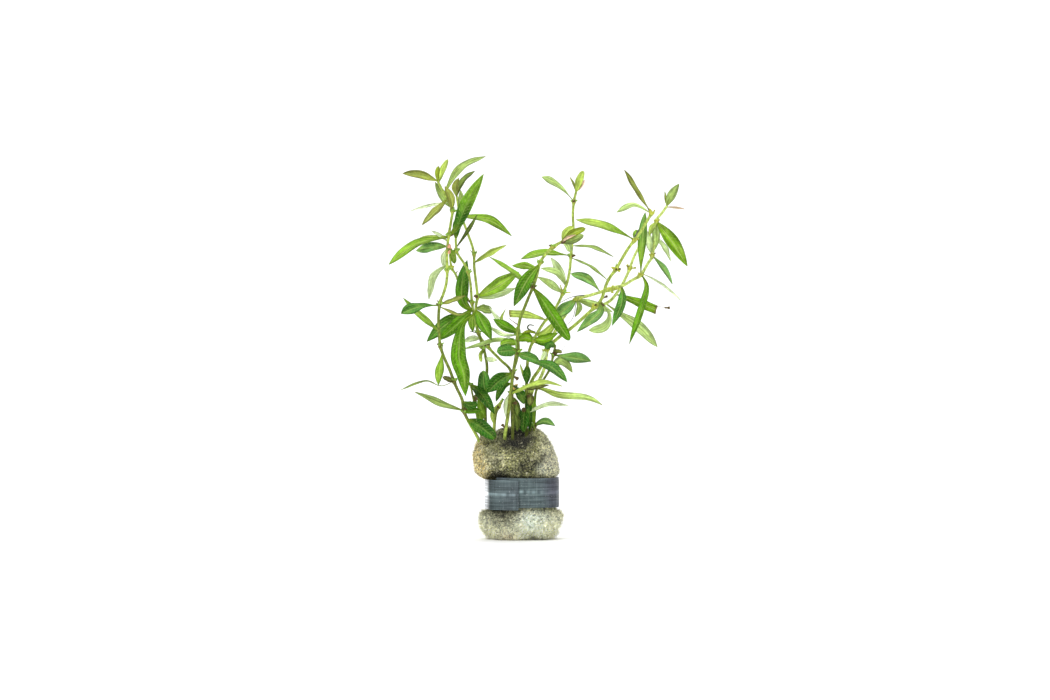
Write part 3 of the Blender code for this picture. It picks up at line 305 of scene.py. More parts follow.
# Each leaf: its route in X and Z from its stem to its tip, how far its middle and its tip lie behind its
# root, its width as seen from the front, how far its face is tilted up from there in degrees, and the
# shape of its tip.
LEAVES = {
    "far_left": (
        Leaf("olive", ((-32.2, 143.2), (-39, 145.5), (-46, 146.3)), (-3, -8), 3.2, 35),
        Leaf("sage", ((-29.4, 138.2), (-22.8, 148.4), (-13.3, 153)), (4, 7), 2.7, 50),
        Leaf("dark", ((-27.8, 121.6), (-24.6, 125), (-20.6, 134), (-14, 146)), (-4.5, -4), 5.2, 20),
        Leaf("olive", ((-28.4, 136), (-32.6, 131.6), (-38.3, 125.8)), (-5.5, -11), 2.8, 35),
        Leaf("bright", ((-28, 121), (-40, 118.6), (-51.5, 110.2)), (-5, -8), 3.4, 40, "stalked"),
        Leaf("mist", ((-28.4, 117.4), (-34.5, 116.8), (-41, 115.4)), (5, 11), 3.8, 30),
        Leaf("pale", ((-28.5, 110), (-34.2, 105.6), (-36, 96)), (5, 10), 2.8, -40),
        Leaf("blue", ((-31.5, 93.8), (-38.5, 93.6), (-46.7, 90.7)), (-4, -8), 4.2, 35, "spoon"),
        Leaf("bright", ((-30.4, 75), (-31.2, 69), (-31.9, 62.4)), (-5, -9), 3.4, 25, "stalked"),
        Leaf("sage", ((-21.9, 51.5), (-31.5, 54.4), (-41.5, 59.3)), (-3, -8), 2.4, 50),
        Leaf("dark", ((-20.3, 48), (-15.4, 45.3), (-9.4, 40.6)), (-6, -10), 5.6, 20, "blunt"),
    ),
    "left_back": (
        Leaf("vivid", ((-18.2, 90.8), (-22.6, 95), (-22.8, 103), (-20.8, 111.5)), (-2.6, -0.5), 5.2, 20),
        Leaf("vivid", ((-18.1, 89.6), (-28, 86.4), (-37, 78.7)), (3.5, 6), 5.4, 20),
        Leaf("vivid", ((-18.4, 92), (-24.5, 86), (-32, 79.5)), (-1.5, -2.5), 5.0, 20),
    ),
    "left_inner": (
        Leaf("vivid", ((-17.1, 90.6), (-22.6, 85.4), (-23.9, 74), (-22, 66.5), (-21.2, 57.7)),
             (-8.5, -11), 6.3, 15, "stalked"),
        Leaf("vivid", ((-17.2, 91.6), (-14.6, 86.4), (-11, 80)), (-6, -10), 5.0, 25),
        Leaf("bright", ((-16.6, 97), (-8, 101.4), (0, 107)), (-4, -7), 5.2, 30),
        Leaf("blue", ((-13.4, 58.5), (-14.2, 62.4), (-14.4, 67.5)), (-4, -6), 5.2, 15, "blunt"),
        Leaf("bright", ((-23.4, 129), (-12, 127.2), (-3, 121)), (4, 9), 3.2, 45),
    ),
    "left_low": (
        Leaf("dark", ((-19.3, 62), (-14.8, 57.6), (-9.8, 50.4)), (-6.5, -11), 4.2, 25),
    ),
    "front": (
        Leaf("vivid", ((8.1, 110.2), (2.9, 103.4), (-2, 93.8)), (-5, -9), 5.4, 15),
        Leaf("vivid", ((5.5, 101), (9.2, 96), (13.6, 89.4), (20, 80.2)), (-4.5, -5), 5.2, 20, "blunt"),
        Leaf("blue", ((-1, 76.2), (-4.6, 75.8), (-8.8, 75.6)), (-5, -9), 5.0, 25, "blunt"),
        Leaf("blue", ((-1, 74.6), (4.6, 72.9), (8.4, 71.1)), (-3.5, -7), 3.6, 35),
        Leaf("light", ((-3.3, 58.2), (4, 61.6), (10.4, 63.2), (17.2, 61.7)), (-5, -7), 1.8, 50),
    ),
    "middle": (
        Leaf("vivid", ((-1.7, 82.8), (-5.6, 85.2), (-10.2, 88.2)), (-4, -4), 3.8, 30),
        Leaf("dark", ((-2.9, 66.4), (-7.6, 63.6), (-12.8, 59)), (-4, -9), 5.8, 20),
    ),
    "right_upper": (
        Leaf("bright", ((20.8, 113.4), (10, 114.4), (0.8, 112)), (-5, -9), 2.8, 45, "stalked"),
        Leaf("light", ((10.8, 87.6), (3.5, 89.6), (-4, 90.2)), (-4, -7), 2.9, 25, "cut"),
        Leaf("lime", ((6, 79.8), (11, 80.2), (15.6, 82.6)), (-5, -8), 3.4, 35),
        Leaf("blue", ((3.6, 71), (12.2, 69.4), (19.2, 63.2)), (-8, -11), 3.8, 35, "stalked"),
        Leaf("light", ((3, 60.2), (9, 60), (16, 57.6), (27, 56.6), (33.2, 54)),
             (-7, -11), 2.8, 45, "stalked"),
    ),
    "right_main": (
        Leaf("bright", ((46, 119.6), (40.6, 122.6), (33, 125.5), (22.7, 127.8)),
             (-4, -3), 3.2, 40, "stalked"),
        Leaf("mist", ((32.2, 94.8), (32.6, 91), (28, 87), (23.2, 83.1)), (-7, -11), 3.8, 30),
        Leaf("olive", ((52.8, 130.4), (46.8, 139), (41.8, 147.6)), (-2, -7), 2.1, 45, "stalked"),
    ),
    "right_fork": (
        Leaf("lime", ((38.9, 97.9), (46, 95), (55, 91.2)), (2, 4), 3.6, 25, "cut"),
        Leaf("mint", ((34.6, 94), (40.4, 89.8), (48.6, 83.8), (55.6, 76.4)), (4, 9), 4.2, 35, "stalked"),
    ),
    "right_back": (
        Leaf("mist", ((32.4, 98.5), (30.4, 101), (26.4, 104.1), (20.8, 105.8)),
             (5, 9), 3.4, 35, "stalked"),
        Leaf("mint", ((22.8, 95.6), (30, 93.2), (37.6, 90.4)), (4, 8), 3.2, 30),
        Leaf("blue", ((41, 102), (41.2, 94.6), (37.2, 85.5)), (-6, -9), 3.6, 25),
        Leaf("vivid", ((49.2, 105.6), (51.2, 100.6), (49, 92), (44.1, 78.1)), (-7, -9), 2.8, 30),
        Leaf("lime", ((55.2, 127), (61.4, 118.6), (67.5, 108.9)), (-4.5, -6), 5.2, 20),
        Leaf("bright", ((48.8, 105.6), (49.4, 117), (50.6, 130.6)), (1, 0), 3.6, 30, "stalked"),
    ),
    "right_low": (
        Leaf("mist", ((13.7, 73.6), (21.2, 72.6), (28.7, 71.3)), (-4, -9), 4.2, 35, "stalked"),
        Leaf("sage", ((12.5, 68.4), (17, 71), (21.3, 66.8)), (-3.5, -6.5), 3.4, 35),
    ),
}

# Leaves grown in one with their stem: the small ones, the tip clusters and the crowded ones.
GROWN_LEAVES = {
    "far_left": (
        Leaf("sage", ((-26.8, 132.5), (-30.4, 137.4), (-33.4, 142.8)), (2.2, 2), 3.4, 20),
        Leaf("olive", ((-26.5, 131.9), (-27, 136.4), (-29.4, 141.2)), (-2.6, -2.2), 3.0, 15),
        Leaf("straw", ((-32.2, 143), (-32.3, 146.2), (-31.8, 149.2)), (-1.5, -3), 1.9, 20, "blunt"),
        Leaf("light", ((-31.8, 142.6), (-30.2, 147.4), (-28.2, 151.8)), (2, 3.5), 2.4, 30, "blunt"),
        Leaf("pale", ((-28, 134.8), (-36, 133.4), (-43.3, 131.3)), (6, 11), 1.2, 20),
        Leaf("light", ((-28, 121.4), (-37, 120), (-45.3, 116.5)), (3.5, 4), 2.0, 50),
        Leaf("pale", ((-27.8, 119), (-31.4, 121.6), (-35, 123.6)), (1.6, 0.5), 1.4, 20),
        Leaf("pale", ((-28.6, 116.4), (-29.8, 113), (-29.6, 109.2)), (2.4, 3.6), 2.4, 20, "blunt"),
        Leaf("bright", ((-28.4, 117), (-26.6, 114), (-25.6, 110.4)), (3, 4), 2.6, 20, "blunt"),
        Leaf("bright", ((-31.8, 83.4), (-40, 90), (-46.2, 96.5)), (5, 8), 2.5, 40),
        Leaf("olive", ((-31.5, 94), (-27, 95.4), (-21.3, 97.7)), (-1, -1), 1.7, 50),
        Leaf("olive", ((-31.5, 93.4), (-26.6, 91), (-23.4, 90), (-20.8, 91)), (-2, -3), 1.1, 40),
        Leaf("brown", ((-26, 63.6), (-28.2, 64.2), (-30.4, 65.2)), (-2, -3), 2.0, 30, "blunt"),
        Leaf("sage", ((-26, 63.4), (-31, 61.6), (-37.5, 63.7), (-47, 60.3)), (-3, -10), 0.9, 0, "spoon"),
        Leaf("dark", ((-22.5, 55), (-19.4, 53.6), (-16.4, 54.4)), (-2.5, -5), 3.2, 25, "blunt"),
        Leaf("vivid", ((-21.9, 51.3), (-18, 51.6), (-14.8, 51.8)), (-3, -4.5), 2.4, 30),
    ),
    "left_back": (
        Leaf("moss", ((-25, 116.6), (-20.4, 123), (-16.6, 129.8)), (-1, 2), 1.4, 40),
        Leaf("dark", ((-25.2, 119.6), (-24.6, 125.4), (-23, 131.4)), (2, 3.4), 3.4, 10),
    ),
    "left_inner": (
        Leaf("bright", ((-17.3, 91), (-18.8, 87.4), (-18.4, 82.8)), (1.8, 2.2), 3.0, 10),
        Leaf("sage", ((-17.2, 92.4), (-14, 91.8), (-10.8, 91.2)), (3.5, 7), 3.4, 30, "blunt"),
        Leaf("pale", ((-16.7, 96.4), (-9, 98), (-1.2, 100.4)), (4, 8), 3.0, -30),
        Leaf("light", ((-18, 110.2), (-13, 113.4), (-5, 117.6)), (-4, -9), 2.2, 40),
        Leaf("moss", ((-25, 137), (-22.6, 143), (-17.7, 147.2)), (2, 5), 2.2, 40),
        Leaf("olive", ((-25, 136.6), (-25.4, 141), (-24, 144.4)), (-2, -4), 2.6, 25),
        Leaf("sage", ((-24.2, 131.6), (-23, 135.4), (-23.4, 139.6)), (-2.5, -3), 2.6, 20),
        Leaf("light", ((-14.2, 76.2), (-15.3, 73.6), (-15, 70.8)), (-2, -3), 1.6, 20, "blunt"),
        Leaf("pale", ((-13.3, 72.6), (-11.6, 71.7), (-8.8, 71.6)), (-2, -3.5), 2.0, 30),
        Leaf("pale", ((-15.5, 80.2), (-19, 79.8), (-22, 79)), (2.5, 5), 2.6, 35),
        Leaf("bright", ((-13.4, 47.5), (-15.3, 52.4), (-16, 57.6)), (-1.5, -1), 3.0, 20),
    ),
    "left_shoot": (),
    "left_low": (
        Leaf("bright", ((-15.6, 43.4), (-15.6, 47.8), (-17.4, 52)), (-1, -1.2), 2.6, 10),
        Leaf("olive", ((-18.2, 55), (-16.8, 56.6), (-14.9, 56.4)), (1.5, 3), 2.4, 20, "blunt"),
    ),
    "low_shoot": (
        Leaf("light", ((-9.9, 46), (-10.6, 50), (-8.6, 54)), (-1, -1), 1.8, 10),
    ),
    "front": (
        Leaf("bright", ((7.6, 108), (2.4, 109.4), (-2.7, 109.5)), (4, 7), 2.8, 30),
        Leaf("bright", ((5.4, 100.8), (-3.4, 107.6), (-11.8, 113)), (6, 10), 2.0, 40),
        Leaf("straw", ((16.8, 119.2), (21.4, 122.4), (26.4, 124.4)), (-2, -4), 3.0, 25, "blunt"),
        Leaf("sage", ((16, 118.8), (20.8, 119.6), (25.6, 121.8)), (1, 2), 3.2, 25, "blunt"),
        Leaf("pink", ((16.8, 119.2), (19.6, 121), (22.6, 122.1)), (-3.4, -5), 1.2, 10),
        Leaf("mint", ((16.8, 119.1), (19.4, 117.8), (20, 115.2)), (0.5, 1), 2.8, 20, "blunt"),
        Leaf("light", ((17, 119.4), (18.8, 122.6), (21.4, 125.2)), (2, 4), 3.0, 25, "blunt"),
    ),
    "middle": (
        Leaf("pale", ((-1.7, 81.4), (-6.4, 81.8), (-13, 85.6)), (3, 4), 1.6, 30),
        Leaf("pale", ((-1.8, 83), (-8.4, 88), (-12, 93)), (3, 5), 1.7, 30),
        Leaf("light", ((-1.8, 83.8), (-6.9, 87.6), (-5.4, 92)), (3, 4), 1.2, 20),
        Leaf("bright", ((-1.4, 78.4), (-4.4, 78.8), (-7.4, 77.8)), (-2, -4), 3.0, 30, "blunt"),
        Leaf("mint", ((-1.3, 79.4), (-9.6, 79.6), (-15.6, 77.8), (-22.4, 76)), (2.2, 2.4), 1.8, 30),
        Leaf("dark", ((-3.1, 62.4), (-6.6, 60.6), (-9.2, 55)), (2, 2), 2.8, 20),
        Leaf("dark", ((-2.9, 60.6), (0.2, 58.4), (2, 54)), (1.6, 2.6), 3.8, 15),
        Leaf("dark", ((-2.6, 54.6), (-0.6, 51.6), (0.2, 48.2)), (1.6, 2.6), 2.8, 10, "blunt"),
        Leaf("moss", ((-2.5, 52), (-1, 47.6), (-0.8, 43)), (1.4, 2), 3.0, 10),
        Leaf("moss", ((-3, 57.4), (-0.9, 53.6), (-0.7, 48.8)), (0.6, 0.4), 2.6, 0),
        Leaf("pale", ((-2.9, 59.4), (-4.8, 54), (-4.2, 47)), (-1.4, -1.6), 2.6, 10),
    ),
    "right_upper": (
        Leaf("mint", ((19, 102.2), (14.9, 106.5), (8.8, 108.4)), (-5, -9), 2.6, 40),
        Leaf("mint", ((17.6, 98.6), (12.6, 101.9), (7.4, 105)), (-5, -9), 2.8, 30),
        Leaf("pale", ((18.6, 101), (16.6, 107), (12.8, 112.4)), (4, 9), 3.2, -30),
        Leaf("mint", ((22, 135), (18.6, 138.8), (14, 142.3), (9.1, 144.8)), (-3, -8), 2.6, 40, "spoon"),
        Leaf("light", ((22.8, 138.4), (24.2, 143), (25.8, 147.2)), (-0.5, 0), 3.0, 20, "blunt"),
        Leaf("pink", ((22.9, 139.2), (25.2, 141.4), (26.4, 143.8)), (-1, -1.4), 1.3, 20),
        Leaf("olive", ((22.9, 138.8), (21.9, 142), (20.4, 144.8)), (1, 2), 0.9, 0),
        Leaf("lime", ((5.8, 79.6), (2.6, 80.6), (-0.4, 79.2)), (-2.4, -3), 4.0, 20),
        Leaf("straw", ((7.2, 82), (3.8, 83.2), (0.8, 82.2)), (-2.5, -4), 1.1, 0),
        Leaf("brown", ((3, 59.8), (7.4, 60.9), (12, 61.8)), (-5.5, -8), 1.8, 30),
        Leaf("sage", ((21.2, 117.3), (29.5, 116.6), (37.8, 112.8)), (-1, -2), 1.3, 45),
        Leaf("sage", ((21, 112.4), (28.4, 109), (35.4, 103.5)), (1, 0.5), 1.0, 45),
        Leaf("vivid", ((5.5, 79), (9, 78.6), (12.6, 77)), (1, 1.5), 2.6, 15),
        Leaf("light", ((6.9, 81.4), (11.2, 82.8), (15, 87.2)), (-1.8, -2.4), 3.2, 15),
        Leaf("dark", ((3.5, 69.6), (3.2, 66.2), (3.1, 62)), (-1.2, -1.4), 3.2, 0),
        Leaf("light", ((3.1, 61.8), (1.9, 65.4), (0.4, 70)), (-0.6, 0), 1.1, 0),
        Leaf("brown", ((3, 58.4), (4.4, 56.8), (4.2, 53.4)), (-1.4, -2), 3.0, 10, "blunt"),
        Leaf("dark", ((2.9, 53), (1.8, 48), (1.8, 42.6)), (-1.8, -2.8), 4.6, 10),
        Leaf("dark", ((3.1, 59), (4.1, 51), (4.2, 43.2)), (-1, -1.4), 2.6, 0),
        Leaf("pale", ((2.9, 50), (6.4, 51.9), (12.4, 54), (19.8, 53.7)), (-5, -9), 1.8, 40),
    ),
    "right_main": (
        Leaf("pale", ((10.6, 75.2), (10, 73.2), (8.8, 71.2)), (-3, -4), 2.0, 10, "blunt"),
        Leaf("mint", ((32.6, 95.4), (36, 89.8), (34, 85), (28, 83.3)), (3, 5), 3.6, -30, "spoon"),
        Leaf("mint", ((52.6, 130.2), (45.8, 133.5), (39, 130.7)), (2, 6), 2.0, 45, "stalked"),
        Leaf("bright", ((46, 119.6), (46.9, 121.8), (46.6, 123.8)), (1, 1.5), 2.8, 20, "blunt"),
    ),
    "right_fork": (),
    "right_back": (
        Leaf("mist", ((22.8, 95.6), (18.4, 91.6), (13.4, 87.8)), (-3, -4), 4.6, 25),
        Leaf("sage", ((22.8, 95.6), (24.4, 92.4), (22.4, 88.6)), (-2.5, -4), 2.2, 20),
        Leaf("mist", ((53.5, 113.2), (58, 108), (61.3, 101.9)), (-4, -9), 2.1, 35),
        Leaf("pale", ((54.5, 121), (58.6, 117), (61.2, 110.8)), (5, 9), 2.0, -40),
        Leaf("pale", ((53.6, 113.6), (52.9, 118), (51.2, 123.4)), (6, 9), 3.4, -20),
        Leaf("mint", ((55.2, 126.8), (55.2, 121), (54.6, 115.6)), (-2.4, -4), 3.2, 20),
        Leaf("light", ((55.1, 126.6), (53.3, 124), (52.3, 121)), (-3, -5), 2.2, 20),
        Leaf("sage", ((59.4, 132.8), (61.6, 137.6), (64.4, 142)), (-1, -2), 3.4, 20),
        Leaf("olive", ((59.4, 133), (59, 136), (58.7, 139)), (1, 2), 1.0, 0),
        Leaf("pink", ((59.2, 132.6), (63.4, 132.4), (66.8, 131.8)), (-2, -4), 0.9, 0),
        Leaf("pale", ((49.4, 105.9), (57.5, 101.7), (65.5, 94.8)), (4, 8), 1.0, 0),
    ),
    "right_low": (
        Leaf("blue", ((14.5, 77.4), (12.4, 77.8), (10.6, 76)), (-2, -3), 3.0, 20, "blunt"),
        Leaf("olive", ((13.9, 74.6), (15.6, 75.2), (17.2, 74.6)), (-1.6, -2), 1.7, 10, "blunt"),
        Leaf("mist", ((6.1, 45.2), (10.2, 47), (14.4, 45.4)), (-3, -6), 2.6, 35),
        Leaf("bright", ((6.1, 45), (5.6, 50.6), (6.2, 57.4)), (-1.2, -1), 2.6, 0),
    ),
}

# Small things on a stem: colour, form, route in X and Z from the stem, radius, how far the end lies
# behind the start, and how far the start lies behind the stem's middle line.
Twig = namedtuple("Twig", "colour form route radius depth start", defaults=(0.0,))
TWIG_COLOURS = {
    "brown": (0.110, 0.076, 0.024),
    "dark": (0.045, 0.075, 0.020),
    "green": (0.240, 0.420, 0.060),
    "grey": (0.120, 0.130, 0.100),
    "pink": (0.640, 0.330, 0.200),
    "tan": (0.480, 0.330, 0.090),
    "yellow": (0.420, 0.450, 0.055),
}
TWIGS = {
    "far_left": (
        Twig("brown", "stub", ((-31.6, 94.6), (-32.7, 96)), 0.32, -0.4),
        Twig("brown", "stub", ((-31.3, 94.4), (-29.4, 95.2)), 0.3, -0.5),
        Twig("brown", "knob", ((-31.4, 77), (-32.4, 78.6)), 0.5, -0.7),
        Twig("brown", "stub", ((-31.2, 76.4), (-30.2, 78)), 0.35, -0.6),
        Twig("brown", "knob", ((-21.7, 50.2), (-20.9, 52.9)), 1.0, -0.8),
        Twig("pink", "bud", ((-27.9, 116.6), (-27.4, 118.4)), 0.75, -0.4, -0.6),
        Twig("pink", "bud", ((-27.9, 114.4), (-27.3, 116)), 0.6, -0.3, -0.6),
        Twig("green", "stub", ((-28.5, 108), (-27.4, 109.4)), 0.3, -0.5),
    ),
    "left_back": (
        Twig("brown", "stub", ((-20.3, 107), (-19, 108.2)), 0.34, -0.8),
        Twig("dark", "stub", ((-12.7, 77), (-11.6, 78.4)), 0.3, -0.6),
    ),
    "left_inner": (
        Twig("brown", "knob", ((-16.8, 96.2), (-17.8, 97.4)), 0.5, -0.9),
        Twig("dark", "stub", ((-16.4, 82.4), (-19.7, 83.2)), 0.26, -1.4),
        Twig("green", "stub", ((-18.2, 114), (-19.6, 115.6)), 0.26, -0.6),
        Twig("green", "stub", ((-17.8, 114), (-16.6, 115.6)), 0.26, -0.6),
        Twig("brown", "stub", ((-13.4, 58.6), (-12.2, 59.6)), 0.3, -0.6),
    ),
    "left_shoot": (
        Twig("pink", "bud", ((-27.4, 115), (-27.5, 117)), 0.8, 0.0),
        Twig("brown", "stub", ((-25.4, 106), (-24.6, 107.2)), 0.3, -0.4),
    ),
    "left_low": (
        Twig("brown", "knob", ((-18.2, 54.6), (-16.8, 56.4)), 0.95, -0.6),
    ),
    "low_shoot": (
        Twig("green", "knob", ((-7, 55), (-6.3, 56.2)), 0.75, -0.2),
    ),
    "front": (
        Twig("brown", "stub", ((-1, 75.2), (0.1, 76.2)), 0.36, -0.8),
        Twig("brown", "knob", ((-5.4, 44.6), (-6.8, 46.2)), 0.7, -0.8),
        Twig("brown", "stub", ((5.5, 101.2), (6.9, 101.6)), 0.34, -0.7),
        Twig("green", "stub", ((8.4, 111), (7.2, 112.2)), 0.3, -0.4),
        Twig("brown", "stub", ((-0.3, 86), (-2.4, 87.5), (-4.3, 88.9)), 0.22, 0.5),
        Twig("green", "stub", ((-1, 76.6), (-1.3, 79.4), (-2.6, 81)), 0.34, -0.6, -1.0),
        Twig("brown", "bud", ((16.6, 118.8), (18.8, 119.6)), 0.75, -0.6),
    ),
    "middle": (
        Twig("brown", "knob", ((-2.4, 65.4), (-0.4, 64.2)), 0.85, -1.4),
        Twig("tan", "bud", ((-2.6, 60.2), (-0.4, 62.2)), 0.9, -0.8),
        Twig("green", "bud", ((-0.9, 81.6), (-0.3, 85.6)), 1.4, -0.4),
        Twig("dark", "knob", ((-3, 61.4), (-0.8, 61)), 0.7, -1.4),
        Twig("brown", "knob", ((-2.7, 54.4), (-1.2, 54.6)), 0.8, -1.4),
        Twig("green", "stub", ((-1.4, 79.6), (-4.2, 80.8), (-6.4, 80)), 0.24, -1.6),
    ),
    "right_upper": (
        Twig("brown", "knob", ((3, 56.6), (4.1, 57)), 0.9, -1.6),
        Twig("brown", "knob", ((2.9, 51.4), (1.7, 51.8)), 1.0, -2.2),
        Twig("yellow", "stub", ((17.5, 98.6), (16.4, 101.8)), 0.42, -0.8),
        Twig("yellow", "stub", ((17.8, 98.6), (20.6, 98.6)), 0.42, -0.8),
        Twig("yellow", "stub", ((17.4, 98.2), (15.8, 99.4)), 0.42, -0.8),
        Twig("brown", "knob", ((5.4, 71.2), (7.2, 72.2)), 0.75, -1.2),
        Twig("brown", "stub", ((8.6, 84.2), (9, 86)), 0.22, -1.0),
        Twig("dark", "stub", ((6.4, 82.6), (4.6, 83.4), (3.4, 84.6), (4.2, 85.7), (6, 85.5)),
             0.46, -3.0),
    ),
    "right_main": (
        Twig("green", "stub", ((38.6, 107.8), (38.8, 110.4)), 0.34, -0.8),
        Twig("yellow", "knob", ((38.5, 107.8), (40.4, 107.2)), 0.55, -0.8),
        Twig("brown", "knob", ((33, 96), (35.4, 97.2)), 0.55, -1.0),
        Twig("brown", "knob", ((32.4, 94.6), (34, 93.2)), 0.55, -0.8),
        Twig("yellow", "bud", ((52.7, 129.8), (52, 132.4)), 0.8, -0.2),
        Twig("brown", "stub", ((52.4, 130.4), (51, 133)), 0.4, -0.3),
        Twig("yellow", "stub", ((53, 130.2), (54.2, 131.8)), 0.5, -0.2),
        Twig("grey", "bud", ((46, 120), (47.2, 122), (47.6, 124)), 0.7, -0.6),
        Twig("green", "stub", ((10.6, 74.8), (11.6, 76.6)), 0.34, -0.6),
        Twig("grey", "stub", ((12.6, 77.4), (16.4, 75), (19, 78)), 0.14, -3.0),
    ),
    "right_fork": (
        Twig("yellow", "knob", ((44.4, 108), (43.3, 109.6)), 0.55, -0.8),
        Twig("yellow", "knob", ((44.6, 108), (46.9, 108.4)), 0.5, -0.8),
        Twig("brown", "stub", ((54.8, 92.6), (57, 92.6), (58.8, 92.3)), 0.15, 0.0, 3.0),
        Twig("brown", "knob", ((58.4, 92.3), (60.6, 92.2)), 0.62, 0.0, 3.0),
    ),
    "right_back": (
        Twig("yellow", "knob", ((37.2, 100), (37.4, 98.4)), 0.6, -1.0),
        Twig("grey", "stub", ((17, 87), (20, 92.6), (26, 97.2)), 0.14, -3.0),
        Twig("grey", "stub", ((26.6, 97.4), (21, 96.6), (15, 93.6)), 0.2, -3.0),
        Twig("grey", "stub", ((22.6, 95), (22.4, 91), (21.2, 87.6), (18.6, 85)), 0.18, -4.0),
        Twig("brown", "stub", ((53.5, 113.2), (54.9, 114.4)), 0.36, -0.8),
        Twig("green", "stub", ((48.8, 105.6), (50.2, 106.6)), 0.34, -0.6),
    ),
    "right_low": (
        Twig("brown", "bud", ((13.9, 73.8), (15.4, 75.4)), 0.9, -1.0),
        Twig("green", "stub", ((12.5, 68.4), (11.4, 69.8)), 0.34, -0.5),
    ),
}

# Colours are linear red, green and blue.
COLOURS = {
    "vivid": (0.082, 0.235, 0.004),
    "lime": (0.145, 0.310, 0.006),
    "bright": (0.178, 0.340, 0.022),
    "dark": (0.018, 0.098, 0.003),
    "blue": (0.064, 0.212, 0.026),
    "mist": (0.130, 0.300, 0.070),
    "sage": (0.260, 0.365, 0.105),
    "light": (0.415, 0.545, 0.100),
    "mint": (0.450, 0.610, 0.215),
    "pale": (0.740, 0.865, 0.530),
    "olive": (0.215, 0.240, 0.045),
    "moss": (0.080, 0.125, 0.020),
    "straw": (0.245, 0.320, 0.020),
    "pink": (0.700, 0.480, 0.350),
    "brown": (0.120, 0.115, 0.035),
}

# How leaves are shaded: how light and how bright the zone by the midrib is, its share, and the share
# of light blotches.
Shading = namedtuple("Shading", "rib_light rib_gain rib_share blotch_share")
PLAIN_SHADING = Shading(0.3, 1.35, 0.6, 0.35)
DEEP_SHADING = Shading(0.12, 1.2, 0.4, 0.15)
DEEP_COLOURS = ("dark", "blue", "vivid")
# How much the midrib itself stands out, on the skins of these colours and on all others.
RIB_SHARES = {"dark": 0.15, "blue": 0.3, "vivid": 0.35, "moss": 0.2}
OTHER_RIB_SHARE = 0.6
# Where a leaf's colour changes: shares of its length, or of its half width for the rib and the rim.
FAR_FROM = (0.3, 0.75)
FAR_SHARE = 0.85
ROOT_REACH = (0.02, 0.3)
ROOT_SHARE = 0.7
RIB_REACH = (0.04, 0.62)
RIM_FROM = (0.66, 1.0)
RIM_SHARE = 0.6
RIM_GAIN = 0.35
DARK_RIM_GAIN = 1.3
TIP_FROM = (0.955, 1.0)
CUT_FROM = (0.93, 0.985)
CUT_TEETH = 9
CUT_TOOTH_DEPTH = 0.02
# How sharply the painted light on one half of a leaf turns to painted shade on the other.
LIT_HALF_SHARPNESS = 4
LEAF_GAIN = 0.98
LEAF_PATCH_SCALE = 0.4
LEAF_PATCH_GAIN = 0.22
LEAF_FINE_SCALE = 1.5
LEAF_FINE_GAIN = 0.12
BLOTCH_SCALE = 0.25
BLOTCH_FROM = (0.15, 0.6)

# Leaves whose far half is of another colour.
FAR_COLOURS = {
    "front_leaf_1": "dark",
    "left_back_leaf_1": "blue",
    "far_left_leaf_3": "bright",
    "left_back_leaf_2": "blue",
    "right_main_leaf_1": "light",
    "right_back_leaf_6": "mist",
    "right_upper_leaf_5": "mint",
}
# The record's colours that the others go by.
SLOT_COLOURS = {
    "pink": "light", "lime": "vivid", "brown": "olive", "mist": "blue", "sage": "light",
    "mint": "pale", "moss": "olive",
}

# The stems' and buds' colours, and where and how much the stems are browner, speckled or paler.
STEM_COLOURS = {
    "olive": (0.170, 0.232, 0.030),
    "light": (0.360, 0.470, 0.085),
    "pale": (0.510, 0.620, 0.170),
}
NODE_COLOURS = {"olive": (0.150, 0.125, 0.030), "light": (0.430, 0.450, 0.050)}
BUD_COLOURS = {"olive": "green", "light": "yellow"}
STEM_BROWN = (0.130, 0.085, 0.030)
STEM_BROWN_HEIGHTS = (45, 85)
STEM_LOW_SHARE = 0.16
STEM_PATCH_SHARE = 0.4
STEM_PATCH_LEAST = 0.3
STEM_PATCH_FROM = (0.05, 0.5)
STEM_PATCH_SCALE = 0.22
STEM_PATCH_TURN = 0.4
STEM_SPECKLE = 0.6
STEM_SPECKLE_SCALE = 1.2
TWIG_SPECKLE = 0.4
TWIG_SPECKLE_SCALE = 1.3
NODE_TONE_SHARE = 0.8
NODE_TONE_POWER = 1.5
NODE_PALENESS = 0.6
STEM_PALENESS = 0.85
PALE_EDGE = 3
# From and up to which heights some stems are paler.
PALE_STRETCHES = {
    "far_left": ((26, 48), (97, 146)),
    "front": ((26, 47), (104, 125)),
    "left_back": ((70, 122),),
    "left_inner": ((84, 138),),
    "right_back": ((60, 140),),
    "right_fork": ((90, 125),),
    "right_upper": ((70, 140),),
}

RIB_COLOUR = (0.520, 0.660, 0.190)
CUT_COLOUR = (0.170, 0.100, 0.030)
UNDERSIDE_COLOUR = (0.380, 0.510, 0.180)
FOAM_COLOUR = (0.275, 0.280, 0.112)
FOAM_YELLOW = (0.600, 0.480, 0.200)
FOAM_TAN = (0.500, 0.340, 0.220)
FOAM_PALE = (0.740, 0.730, 0.570)
FOAM_WHITE = (0.760, 0.840, 0.740)
FOAM_FOOT = (0.890, 0.910, 0.690)
FOAM_CREAM = (0.760, 0.730, 0.500)
FOAM_OLIVE = (0.135, 0.142, 0.060)
# Patches on the front of the plug: colour, share, centre in X and Z, and reach.
FOAM_PATCHES = (
    (FOAM_WHITE, 0.95, (5.2, 8.0), (5.6, 5.0)),
    (FOAM_TAN, 0.4, (-4.4, 1.6), (3.4, 1.6)),
    (FOAM_CREAM, 0.3, (-9.0, 33.0), (4.0, 2.6)),
    (FOAM_YELLOW, 0.6, (-15.0, 29.6), (2.6, 3.4)),
    (FOAM_WHITE, 0.45, (9.0, 28.8), (2.2, 1.9)),
    (FOAM_PALE, 0.55, (13.0, 31.0), (4.0, 7.0)),
    (FOAM_OLIVE, 0.65, (-6.6, 8.4), (5.2, 4.0)),
)
